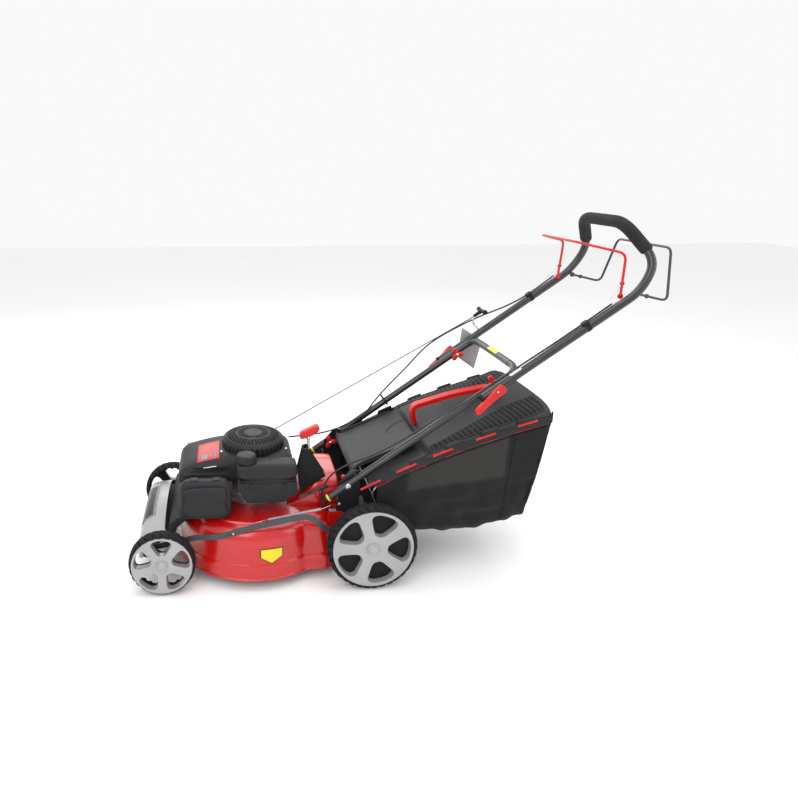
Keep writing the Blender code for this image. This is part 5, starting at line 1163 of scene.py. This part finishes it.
def make_lid():
    """Bag lid and its wire frame."""
    ends = even(cut_corners([(0.94, 0, 0), (0.985, 0.03, 0), (1, 0.12, -0.002), (1, 0.5, 0.008),
                             (1, 1.0, 0.011)], 3), 26)
    straight = 110
    t = np.r_[np.linspace(0, 0.935, straight), ends[:, 0]]
    drop = np.r_[np.zeros(straight), ends[:, 1]]
    back = np.r_[np.zeros(straight), ends[:, 2]]
    piece("lid_shell", skin(lid_grid(t, drop, back), around=False, capped=False), LID_GREY, "bag_body",
          "bag_lid", crease=50, wall=0.003)
    for name, side in SIDES:
        make_vents(name, side)
        make_band(name, side)
    bow = []
    for s in (1, -1):
        line = [(BAG_FRONT_X + BAG_LENGTH * t, s * (BAG_HALF - 0.016),
                 lid_edge_z(t) + 0.004) for t in (0.95, 0.70, 0.40, 0.10)]
        line += [(BAG_FRONT_X + 0.012, s * (BAG_HALF - 0.016), lid_edge_z(0) - 0.020),
                 (BAG_FRONT_X + 0.048, s * (BAG_HALF - 0.046), 0.214)]
        bow.append(line)
    piece("bag_wire", rod(rounded(bow[0] + bow[1][::-1], 0.030, 7), 0.004, 12), SPRING_STEEL, "bag_body",
          "bag_frame", crease=60)


def make_vents(name, side):
    """Strip along the shoulder: a raised frame round slanted bars, with painted shade in the slots between
    them.
    """
    n, m = 420, 40
    t = np.linspace(0.33, 0.975, n)
    half = even(lid_section(200)[75:150], m)
    base = lid_grid(t, 0 * t, 0 * t, section=half)
    u = np.linspace(0, 1, n)[:, None]
    v = np.linspace(0, 1, m)[None]
    taper_low = 0.04
    taper_high = 0.97 - 0.62 * (1 - ease(u, 0.0, 0.95)) ** 1.2
    inside_v = ease(v, taper_low, taper_low + 0.06) * (1 - ease(v, taper_high - 0.06, taper_high))
    inside_u = ease(u, 0.015, 0.03) * (1 - ease(u, 0.975, 0.99))
    phase = (u * 24 + v * 0.9) % 1.0
    slot = ease(phase, 0.24, 0.34) * (1 - ease(phase, 0.90, 1.0)) * inside_v * inside_u
    frame_edge = (ease(v, 0.0, 0.02) * (1 - ease(v, taper_high + 0.03, taper_high + 0.05))
                  * ease(u, 0, 0.006) * (1 - ease(u, 0.994, 1)))
    lift = frame_edge * (0.0044 * (1 - slot) + 0.0014 * slot) - 0.0006
    grid = base + lift[..., None] * np.array([0, 0.25, 0.97])
    grid[..., 1] *= side
    # the slot mask goes out as the recess attribute, which paints shade into the slots
    piece(f"lid_vents_{name}", skin(grid, around=False, capped=False), VENT_GREY, "bag_body",
          crease=60,
          values={"recess": slot})


def make_band(name, side):
    """Rim band along the lid's edge in staggered lengths, with a red tab below each gap."""
    t = np.linspace(0.03, 0.985, 200)
    x = BAG_FRONT_X + BAG_LENGTH * t
    step = ease(((t - 0.03) / 0.955 * 5.0) % 1.0, 0.44, 0.47)
    low = lid_edge_z(t) - 0.006 - 0.004 * step
    high = lid_edge_z(t) + 0.026 - 0.012 * step
    y_out, y_in = BAG_HALF + 0.0034, BAG_HALF - 0.005
    profile = [(y_in, high), (y_out - 0.001, high), (y_out, high - 0.0015), (y_out, low + 0.001),
               (y_out - 0.001, low), (y_in, low)]
    grid = np.stack([np.stack([x, np.full_like(x, y) * side, z + 0 * x], -1) for y, z in profile], 1)
    piece(f"lid_band_{name}", skin(grid), CHARCOAL, "bag_body", crease=40)
    tabs = []
    for middle in (0.637, 0.745, 0.856, 0.985, 1.112):
        s = (np.linspace(-0.030, 0.030, 12) + middle - BAG_FRONT_X) / BAG_LENGTH
        line = np.stack([BAG_FRONT_X + BAG_LENGTH * s, np.full(12, side * (BAG_HALF + 0.0030)),
                         lid_edge_z(s) + 0.011], 1)
        tabs.append(skin(swept(line, box_outline(0.0062, 0.0050, 0.001, 16), up=(0, 1, 0))))
    piece(f"bag_tabs_{name}", tabs, RED_PLASTIC, "bag_body", crease=45)


def sack_low(t):
    """Height of the sack's lowest line: a sine dip, which rises again past t = 0.6."""
    return 0.184 - 0.044 * np.sin(math.pi * (0.15 + t * 0.75)) + 0.075 * np.maximum(0, t - 0.6)


def sack_fold(t, d):
    """Folds of slack cloth: soft ridges that drift down along the bag, stronger towards the bottom."""
    ridge = 0 * (t + d)
    for at, lean, wide, high in ((0.52, 0.16, 0.045, 0.0045), (0.66, -0.10, 0.050, -0.0040),
                                 (0.74, 0.22, 0.040, 0.0055),
                                 (0.86, -0.16, 0.045, -0.0050), (0.93, 0.10, 0.040, 0.0045),
                                 (0.36, 0.05, 0.07, 0.0020)):
        path = at + lean * (t - 0.5) + 0.035 * np.sin(7.0 * t + 9 * at)
        ridge = ridge + high * np.exp(-((d - path) / wide) ** 2) * (0.6 + 0.4 * np.sin(11 * t + 17 * at))
    ripple = (0.0016 * np.sin(TAU * (5.2 * t + 0.9 * d)) * ease(d, 0.05, 0.5)
              + 0.0010 * np.sin(TAU * (9.7 * t - 2.1 * d)) * ease(d, 0.3, 0.9))
    return (ridge + ripple) * ease(d, 0.02, 0.25)


def make_sack():
    """Sides hang from the rim, the bottom sags and is pulled into folds, and the rear wall leans in."""
    half_section = even(cut_corners([(1, 0), (0.990, 0.25), (0.983, 0.50), (0.976, 0.84), (0.955, 0.975),
                                     (0.86, 1.0),
                                     (0.4, 1.0), (0, 1.0)], 2), 70)
    share = np.r_[-half_section[:, 0], half_section[::-1][1:, 0]][None]
    depth = np.r_[half_section[:, 1], half_section[::-1][1:, 1]][None]
    n, rear = 130, 40
    t = np.r_[np.linspace(0.05, 0.985, n), np.full(rear, 0.985)][:, None]
    lift = np.r_[np.zeros(n), np.linspace(0.02, 1, rear) ** 0.9][:, None]
    top = lid_edge_z(t) - 0.006
    floor = sack_low(t)
    floor = floor + (top - 0.004 - floor) * lift
    fold = sack_fold(t + 0.30 * lift, depth) * (1 - 0.5 * lift)
    half = BAG_HALF - 0.0065 - 0.010 * ease(depth, 0.0, 1.0) * np.sin(math.pi * np.clip(t, 0, 1)) + 0 * fold
    z = top + (floor - top) * depth
    below = lid_edge_z(1.0) - z
    lean = BAG_LEAN * t ** 5 * below
    corner = 0.010 * ease(t, 0.90, 0.985) * np.exp(-((z - 0.185) / 0.020) ** 2)
    x = BAG_FRONT_X + BAG_LENGTH * t - lean + corner + 0.006 * np.sin(math.pi * depth) * ease(t, 0.95, 0.985)
    x = x - fold * ease(lift, 0, 0.1) * 1.2
    vertical = ease(np.abs(share), 0.93, 0.97)
    y = half * share + np.sign(share) * fold * vertical
    z = z - fold * (1 - vertical) * 1.6 * (1 - lift)
    grid = np.stack([x + 0 * y, y, z], -1)
    along = BAG_FRONT_X + BAG_LENGTH * (t + 0.45 * lift) + 0 * y
    across = np.cumsum(np.r_[0, np.linalg.norm(np.diff(half_section, axis=0) * np.array([0.2, 0.25]),
                                               axis=1)])
    across = np.r_[-across, across[::-1][1:]][None] * np.sign(-share + 1e-9) + 0 * y
    panel = ease(t, 0.20, 0.24) * (1 - ease(t, 0.76, 0.78)) * (1 - lift)
    panel = panel * (1 - ease(depth, 0.30 + 0.25 * (t - 0.2), 0.36 + 0.25 * (t - 0.2))) + 0 * y
    sack = piece("sack", skin(grid, around=False, capped=False), CLOTH, "bag_body",
                 "bag_fabric", crease=80,
                 wall=0.0012, values={"along": along, "across": across, "panel": panel})
    seams = []
    for side in (-1, 1):
        s = np.linspace(0.05, 0.975, 120)
        line = np.stack([BAG_FRONT_X + BAG_LENGTH * s, np.full(120, side * (BAG_HALF - 0.0030)),
                         lid_edge_z(s) - 0.012], 1)
        seams.append(rod(line, 0.0013, 8))
    piping = piece("sack_piping", seams, PIPING, "bag_body", crease=60)
    hems = []
    for side in (-1, 1):
        column = 2 if side < 0 else -3
        path = grid[:n, column] + np.array([0, side * 0.0008, 0.0])
        hems.append(rod(path[::2], 0.0016, 8))
    upright = [grid[int(n * 0.80), 3:58:2] + np.array([0, -0.0008, 0]),
               grid[int(n * 0.80), -58:-3:2] + np.array([0, 0.0008, 0])]
    hems += [rod(line, 0.0011, 8, up=(1, 0, 0)) for line in upright]
    hem = piece("sack_hems", hems, CLOTH, "bag_body", crease=60)


def make_flap():
    """Deflector: a plate along the slope with a leaf-shaped recess and rolled edges, on a hinge barrel."""
    n, m = 150, 120
    d = np.linspace(0, FLAP_LENGTH, n)[:, None]
    w = np.linspace(-FLAP_HALF, FLAP_HALF, m)[None]
    edge = np.minimum(np.minimum(FLAP_LENGTH - d, FLAP_HALF - np.abs(w)), 0.010) / 0.010
    roll = -0.0024 * (1 - np.sqrt(np.clip(1 - (1 - edge) ** 2, 0, 1)))
    reach = np.clip((d - 0.150) / 0.074, 0, 1)
    leaf = ease(0.046 * np.sqrt(reach * (1.6 - 0.6 * reach)) - np.abs(w), 0.0, 0.004) * ease(d, 0.150, 0.156)
    leaf = leaf * (1 - ease(d, 0.220, 0.224))
    panel = ease(FLAP_HALF - np.abs(w), 0.016, 0.020) * ease(d, 0.022, 0.026) * (1 - ease(d, 0.165, 0.169))
    h = 0.0082 + roll - 0.0030 * leaf - 0.0007 * panel
    top = np.stack([FLAP_ROD[0] + d * math.cos(FLAP_SLOPE) - h * math.sin(FLAP_SLOPE), w + 0 * d,
                    FLAP_ROD[2] + d * math.sin(FLAP_SLOPE) + h * math.cos(FLAP_SLOPE)], -1)
    barrel = turned([(0.0044, -FLAP_HALF), (0.0085, -FLAP_HALF), (0.010, -FLAP_HALF + 0.002),
                     (0.010, FLAP_HALF - 0.002),
                     (0.0085, FLAP_HALF), (0.0044, FLAP_HALF)], (FLAP_ROD[0], 0, FLAP_ROD[2]), "Y", 40,
                    closed=True)

    def on_flap(dist, height):
        return (FLAP_ROD[0] + dist * math.cos(FLAP_SLOPE) - height * math.sin(FLAP_SLOPE),
                FLAP_ROD[2] + dist * math.sin(FLAP_SLOPE) + height * math.cos(FLAP_SLOPE))

    rib = even(rounded([on_flap(0.02, 0.007), on_flap(0.215, 0.007), on_flap(0.190, 0.0145),
                        on_flap(0.040, 0.0165),
                        on_flap(0.006, 0.010), on_flap(0.02, 0.007)], 0.006)[:-1], 80, closed=True)
    ribs = [slab(rib, s * (FLAP_HALF - 0.004) - 0.002, s * (FLAP_HALF - 0.004) + 0.002,
                 0.0008) for s in (-1, 1)]
    piece("flap_plate", skin(top, around=False, capped=False), LID_GREY, "flap_body",
          "rear_flap", crease=50, wall=0.0028)
    piece("flap_hinge", [barrel, *ribs], LID_GREY, "flap_body", crease=45)


def make_carry_handle():
    """Arched strap handle: a grooved section carried over the lid, with a tongue standing at its rear end."""
    low_t, high_t = 0.345, 0.815
    low = np.array([BAG_FRONT_X + BAG_LENGTH * low_t, 0, lid_top_z(low_t) + 0.004])
    high = np.array([BAG_FRONT_X + BAG_LENGTH * high_t, 0, lid_top_z(high_t) + 0.006])
    path = rounded([low, low + (-0.012, 0, 0.058), low + (0.120, 0, 0.098), high + (-0.020, 0, 0.022), high],
                   np.array([0.023, 0.050, 0.050]), 16)
    path = even(path, 120)
    rail = [(-0.0075, 0.014), (-0.0046, 0.0146), (-0.0038, 0.0112), (-0.0010, 0.0112), (0.0, 0.0146),
            (0.0010, 0.0112),
            (0.0038, 0.0112), (0.0046, 0.0146), (0.0075, 0.014)]
    section = rail + [(-a, -b) for a, b in rail]
    arch = skin(swept(path, section))
    tongue = slab(even(rounded([(high[0] - 0.004, high[2] + 0.004), (high[0] + 0.002, high[2] + 0.040),
                                (high[0] + 0.013, high[2] + 0.038),
                                (high[0] + 0.013, high[2] + 0.018), (high[0] + 0.020, high[2] + 0.004),
                                (high[0] - 0.004, high[2] + 0.004)], 0.003)[:-1], 60, closed=True), -0.009,
                  0.009, 0.002)
    piece("carry_handle", [arch, tongue], RED_PLASTIC, "bag_body", "bag_handle", crease=40)


# ---------------------------------------------------------------- handle
def across(path):
    """The near half of a hoop, carried on to the far side."""
    path = np.asarray(path, float)
    return np.vstack([path, path[::-1] * np.array([1, -1, 1])])


def upper_path():
    """Corners of the upper tube's centre line."""
    foot = HANDLE_JOINT - ALONG * 0.062
    low = HANDLE_BEND + np.array([0.044, 0, 0.086])
    top = HANDLE_BEND + np.array([-0.022, 0, 0.194])
    return [(foot[0], -HANDLE_HALF, foot[2]), (HANDLE_BEND[0], -HANDLE_HALF, HANDLE_BEND[2]),
            (low[0], -0.188, low[2]),
            (top[0], -0.112, top[2])]


def tube_ring(centre, way, radius, length):
    """Short collar round a tube, pointed along `way`."""
    way = np.array(way, float) / np.linalg.norm(way)
    path = np.asarray(centre, float) + np.outer((-0.5, -0.42, 0.42, 0.5), way) * length
    wide = np.array([radius - 0.0008, radius, radius, radius - 0.0008])
    return skin(swept(path, ring(1, 32)[None] * wide[:, None, None]))


def make_handle():
    """Upper and lower handle and what is fixed on them."""
    hoop = rounded(across(upper_path()), 0.045, 12)
    piece("upper_tube", skin(swept(hoop, ring(TUBE_R, 28))), TUBE_PAINT, "upper_handle_body",
          "upper_handle", crease=50)
    per_bend = 12
    sleeve = hoop[1 + per_bend:1 + 5 * per_bend]
    sleeve = sleeve[per_bend - 2:len(sleeve) - per_bend + 2]
    sleeve = even(sleeve, 140)
    far = np.linspace(0, 1, 140)
    wide = TUBE_R + 0.0062 - 0.004 * np.exp(-np.minimum(far, 1 - far) / 0.006)
    grip = piece("grip_sleeve", skin(swept(sleeve, ring(1, 32)[None] * wide[:, None, None])), FOAM,
                 "upper_handle_body",
                 "grip_foam", crease=70)
    foot = LOWER_BOLT - ALONG * 0.088
    shoulder = LOWER_BOLT + ALONG * 0.610
    bar = LOWER_BOLT + ALONG * 0.630
    legs = [(foot[0], -LOWER_HALF, foot[2]), (shoulder[0], -LOWER_HALF, shoulder[2]),
            (bar[0], -LOWER_HALF + 0.034, bar[2])]
    hoop = rounded(across(legs), 0.030, 12)
    piece("lower_tube", skin(swept(hoop, ring(LOWER_TUBE_R, 28))), TUBE_PAINT, "lower_handle_body",
          "lower_handle", crease=50)
    bar_line = np.array([(bar[0], y, bar[2]) for y in np.linspace(-0.120, 0.120, 30)])
    piece("crossbar_sleeve", skin(swept(bar_line, ring(LOWER_TUBE_R + 0.0007, 28), up=(0, 0, 1))), GREY_TUBE,
          "lower_handle_body", crease=60)
    strip_line = np.array([(bar[0], y, bar[2]) for y in np.linspace(-0.030, 0.040, 14)])
    a = np.radians(np.linspace(60, 150, 10))
    arc = np.vstack([np.stack([np.cos(a), np.sin(a)], 1) * (LOWER_TUBE_R + 0.0013),
                     np.stack([np.cos(a[::-1]), np.sin(a[::-1])], 1) * (LOWER_TUBE_R + 0.0004)])
    piece("crossbar_strip", skin(swept(strip_line, arc, up=(0, 0, 1))), YELLOW, "lower_handle_body",
          crease=60)
    for name, side in SIDES:
        end = np.array([foot[0], side * LOWER_HALF, foot[2]])
        cap = skin(swept(end - np.outer((0.003, 0.002, -0.010), ALONG),
                         ring(1, 24)[None] * np.array([0.010, 0.0118, 0.0118])[:, None, None]))
        piece(f"lower_tube_plug_{name}", cap, DARK_PLASTIC, "lower_handle_body", crease=40)
        band = tube_ring(end + ALONG * 0.016, ALONG, LOWER_TUBE_R + 0.0009, 0.006)
        piece(f"lower_tube_band_{name}", band, YELLOW, "lower_handle_body", crease=40)
        at = np.array([HANDLE_JOINT[0], side * HANDLE_HALF, HANDLE_JOINT[2]])
        collar = tube_ring(at - ALONG * 0.060, ALONG, TUBE_R + 0.0012, 0.010)
        piece(f"upper_tube_collar_{name}", collar, DARK_PLASTIC, "upper_handle_body",
              crease=40)
    clip_at = np.array([0, -HANDLE_HALF, 0]) + LOWER_BOLT + ALONG * 0.612
    clip = pressed(box_outline(0.040, 0.012, 0.003, 40), -0.0020, 0.0020, 0.0008)
    clip = (placed(clip[0], clip_at + ABOVE * (TUBE_R + 0.0016) + np.array([0, -0.004, 0]), ALONG,
                   (0, 1, 0), ABOVE), clip[1])
    piece("cable_clip", clip, WHITE_FILM, "upper_handle_body", crease=40)
    far_at = LOWER_BOLT + ALONG * 0.245 + np.array([0, LOWER_HALF, 0])
    tie = rod(far_at + np.array([(0, math.cos(a) * 0.021 + 0.004, 0) + ABOVE * (math.sin(a) * 0.021 + 0.006)
                                 for a in np.linspace(0, TAU, 33)]), 0.0036, 8, up=tuple(ALONG))
    piece("cable_tie", tie, CABLE, "lower_handle_body", crease=60)
    for side, distance in ((-1, 0.860), (1, 0.880)):
        at = LOWER_BOLT + ALONG * distance + np.array([0, side * HANDLE_HALF, 0])
        holder = pressed(box_outline(0.022, 0.020, 0.005, 40), -0.004, 0.004, 0.0015)
        holder = (placed(holder[0], at + ABOVE * (TUBE_R + 0.003), ALONG, (0, 1, 0), ABOVE), holder[1])
        piece(f"cable_stop_{'left' if side < 0 else 'right'}",
              [holder, tube_ring(at, ALONG, TUBE_R + 0.0012, 0.014)],
              DARK_PLASTIC, "upper_handle_body", crease=40)
    make_bails()
    make_levers()
    make_pull()


def make_bails():
    """Bent rods with a flattened eye at each pin, and a thin wire from each eye to its cable."""
    half = HANDLE_HALF - TUBE_R - BAIL_R - 0.0003
    for name, at, corner, tip, material, body, slot in (
            ("brake_bail", BRAKE_PIN, (0.006, -0.181, 0.126), (-0.108, -0.116, 0.153), RED_PLASTIC,
             "brake_bail_body", "lever_red"),
            ("drive_bail", DRIVE_PIN, (0.100, -0.179, -0.024), (0.121, -0.136, 0.130), TUBE_PAINT,
             "drive_bail_body", "tube_black")):
        lift = np.array([1, 0, 1])
        near = [(at[0], -half, at[2]), at * lift + np.array(corner), at * lift + np.array(tip)]
        hoop = rounded(across(near), 0.022, 12)
        parts = [skin(swept(hoop, ring(BAIL_R, 18)))]
        for side in (-1, 1):
            parts.append(turned([(0, -0.003), (0.0075, -0.003), (0.0085, -0.001), (0.0085, 0.001),
                                 (0.0075, 0.003), (0, 0.003)],
                                (at[0], side * (half - 0.0005), at[2]), "Y", 28))
            eye = at * lift + (np.array(corner) * np.array([1, 0, 1])) * 0.30
            y = side * (half + (0.181 - half) * 0.30)
            parts.append(turned([(0, -0.0026), (0.0062, -0.0026), (0.0070, 0), (0.0062, 0.0026),
                                 (0, 0.0026)], (eye[0], y, eye[2]), "Y", 24))
        piece(f"{name}_rod", parts, material, body, name, crease=50)
    for name, side, pin, reach, body in (("brake_wire", 1, BRAKE_PIN, (0.002, 0.038), "brake_bail_body"),
                                         ("drive_wire", -1, DRIVE_PIN, (0.030, -0.007), "drive_bail_body")):
        eye = np.array([pin[0] + reach[0], side * (half - 0.002), pin[2] + reach[1]])
        hold = LOWER_BOLT + ALONG * (0.985 if side > 0 else 0.955) + ABOVE * 0.019
        hold = np.array([hold[0], side * (HANDLE_HALF - 0.003), hold[2]])
        line = hold + (eye - hold) * np.linspace(0, 1, 8)[:, None]
        piece(name, rod(line, 0.0009, 8), SPRING_STEEL, ("upper_handle_body", body, hold, eye))
    for side in (-1, 1):
        eye = np.array([BRAKE_PIN[0] + 0.002, side * (half - 0.001), BRAKE_PIN[2] + 0.038])
        rest = np.array([BRAKE_PIN[0] - 0.040, side * (HANDLE_HALF - 0.004), BRAKE_PIN[2] - 0.010])
        label = "left" if side < 0 else "right"
        line = rest + (eye - rest) * np.linspace(0, 1, 8)[:, None]
        piece(f"stop_wire_{label}", rod(line, 0.0008, 8), SPRING_STEEL,
              ("upper_handle_body", "brake_bail_body", rest, eye))


def make_levers():
    """Quick-release levers, star knobs and the lower bolts."""
    lean = math.radians(225)
    way = np.array([math.cos(lean), 0, math.sin(lean)])
    pin_way = np.array([-way[2], 0, way[0]])
    outline = even(cut_corners([(-0.012, -0.011), (-0.012, 0.011), (-0.002, 0.0145), (0.012, 0.0135),
                                (0.030, 0.0115), (0.060, 0.0095),
                                (0.085, 0.0105), (0.100, 0.009), (0.106, 0.0), (0.100, -0.009),
                                (0.085, -0.0105),
                                (0.060, -0.0095), (0.030, -0.0115), (0.012, -0.0135), (-0.002, -0.0145)], 2,
                               closed=True), 140, closed=True)
    for name, side in SIDES:
        pin = PIN[f"cam_lever_{name}_swing"]
        out = np.array([0, side, 0])
        body = f"cam_{name}_body"
        lever = pressed(outline, -0.0065, 0.0068, 0.0028, 0.0004)
        bend = 0.0035 * ((lever[0][:, :1] - 0.03) / 0.07) ** 2
        local = lever[0] + np.c_[np.zeros((len(lever[0]), 2)), bend]
        groove = pressed(box_outline(0.062, 0.004, 0.0018, 40) + np.array([0.050, 0]), 0.0068, 0.0082,
                         0.0006)
        piece(f"release_lever_{name}", [(placed(local, pin, way, pin_way, out), lever[1]),
                                        (placed(groove[0], pin, way, pin_way, out), groove[1])],
              RED_PLASTIC, body,
              f"cam_lever_{name}", crease=45)
        hole = pressed(ring(0.0022, 20) + np.array([0.004, 0.004]), 0.0060, 0.00735, 0.0003)
        slot = pressed(box_outline(0.010, 0.0052, 0.0022, 28) + np.array([0.012, -0.005]), 0.0060, 0.00740,
                       0.0003)
        peg = pressed(box_outline(0.006, 0.0034, 0.0012, 24) + np.array([0.0125, -0.005]), 0.0064, 0.0082,
                      0.0005)
        # painted shade: thin near-black sheets on the lever stand for the shaded openings of its hole and
        # slot
        holes = [(placed(p[0], pin, way, pin_way, out), p[1]) for p in (hole, slot)]
        piece(f"release_lever_hole_shade_{name}", holes, INK, body)
        piece(f"release_lever_peg_{name}", (placed(peg[0], pin, way, pin_way, out), peg[1]), WHITE_FILM,
              body)
        a = np.arange(120) * TAU / 120
        reach = 0.0165 + 0.0085 * np.cos(3 * a)
        star = np.stack([reach * np.cos(a), reach * np.sin(a)], 1)
        for level, place, inner, tip in (("mid", HANDLE_JOINT, LOWER_HALF - LOWER_TUBE_R - 0.0005,
                                          HANDLE_HALF + TUBE_R),
                                         ("lower", LOWER_BOLT, 0.163, LOWER_HALF + LOWER_TUBE_R + 0.0025)):
            flat = np.array([place[0], place[2]])
            arms = slab(star + flat, -inner + 0.003, -inner + 0.0145, 0.0036, 0.001)
            boss = turned([(0.0, -inner), (0.009, -inner), (0.010, -inner + 0.004), (0.0, -inner + 0.006)],
                          place, "Y", 32)
            shank = turned([(0, -tip), (0.004, -tip), (0.004, -inner), (0, -inner)], place, "Y", 24)
            nut = turned([(0, -inner + 0.0205), (0.003, -inner + 0.0198), (0.0052, -inner + 0.0178),
                          (0.0062, -inner + 0.0150),
                          (0.0062, -inner + 0.012), (0, -inner + 0.012)], place, "Y", 24)
            grip = [p if side < 0 else flipped(p) for p in (arms, boss)]
            metal = [p if side < 0 else flipped(p) for p in (shank, nut)]
            if level == "lower":
                out_y = -(LOWER_HALF + LOWER_TUBE_R + 0.0005)
                dome = turned([(0, out_y - 0.0058), (0.0050, out_y - 0.0050), (0.0085, out_y - 0.0030),
                               (0.0098, out_y - 0.0006),
                               (0.0098, out_y), (0, out_y)], place, "Y", 40)
                metal.append(dome if side < 0 else flipped(dome))
            knob_body = f"{level}_knob_{name}_body"
            piece(f"{level}_star_{name}", grip, RED_PLASTIC, knob_body, f"{level}_knob_{name}",
                  crease=45)
            piece(f"{level}_star_bolt_{name}", metal, SPRING_STEEL, knob_body, crease=40)


def make_pull():
    """T-shaped pull with a waisted bar, its wire guide, and the card on its string."""
    a = np.linspace(-1, 1, 25)
    bar = np.stack([0 * a, 0.034 * a, 0 * a], 1) + (0.034 + 0.003 * a ** 2)[:, None] * ALONG + GRIP_AT
    section = box_outline(0.015, 0.015, 0.005, 32)
    width = 0.80 + 0.25 * a ** 2 - 0.3 * ease(np.abs(a), 0.9, 1.0)
    profile = cut_corners([(0, 0.0), (0.0045, 0.001), (0.0060, 0.008), (0.0062, 0.022), (0.0080, 0.030),
                           (0, 0.034)], 2)
    points, faces = turned(profile, (0, 0, 0), "Z", 32)
    stem = (placed(points, GRIP_AT, (0, 1, 0), ABOVE, ALONG), faces)
    piece("pull_bar", [skin(swept(bar, section[None] * width[:, None, None], up=ABOVE)), stem],
          DARK_PLASTIC, "starter_body",
          "starter_handle", crease=45)
    foot = GUIDE_AT + ABOVE * (TUBE_R + 0.001)
    top = GRIP_AT - np.array([0, 0, 0.019])
    t = np.linspace(0, TAU, 41)
    loop = top + np.stack([0 * t, 0.007 * np.sin(t), -0.007 * np.cos(t)], 1)
    piece("pull_guide", [rod(through([foot, (foot + loop[0]) / 2 + np.array([0.002, 0, 0]), loop[0]], 6),
                             0.0024, 12),
                         rod(loop, 0.0024, 12, up=(1, 0, 0))], SPRING_STEEL, "upper_handle_body",
          "rope_guide", crease=60)
    near, far = np.array([1.0557, 0.225, 0.7069]), np.array([1.1333, 0.225, 0.6570])
    low_near, low_far = np.array([1.0447, 0.225, 0.5971]), np.array([1.1113, 0.225, 0.5503])
    u, v = (part[..., None] for part in np.meshgrid(np.linspace(0, 1, 14), np.linspace(0, 1, 20),
                                                    indexing="ij"))
    card = (near * (1 - u) + far * u) * (1 - v) + (low_near * (1 - u) + low_far * u) * v
    card = card + np.array([0, 1, 0]) * (0.004 * np.sin(u * 3.0) + 0.003 * v ** 2)
    tag = piece("hang_card", skin(card, around=False, capped=False), CARD, "upper_handle_body", crease=60,
                wall=0.0008)
    hang = near * 0.55 + far * 0.45 + np.array([0, 0.002, -0.006])
    knot = GUIDE_AT + np.array([0.0, TUBE_R + 0.001, 0.0])
    string = through([knot, knot * 0.5 + hang * 0.5 + np.array([0.004, 0.004, 0.004]), hang], 10)
    cord = piece("card_string", rod(string, 0.0008, 8), RED_FILM, "upper_handle_body")


# ---------------------------------------------------------------- what stays as the frame has it
def dress_rest():
    """Every frame node that still shows takes a finish of its own."""
    for names, material in ((("crankshaft", "blade", "blade_bolt", "flap_rod", "drive_shaft"), SPRING_STEEL),
                            (("flywheel", "gearbox"), CAST), (("rear_skirt",), DARK_PLASTIC),
                            (("spark_plug_boot",), CABLE)):
        for name in names:
            NODES[name].data.materials.clear()
            NODES[name].data.materials.append(material)


make_camera()
make_floor()
make_light()
make_cables()
make_wheels()
make_deck()
make_nose()
make_engine()
make_gear()
make_lid()
make_sack()
make_flap()
make_carry_handle()
make_handle()
dress_rest()
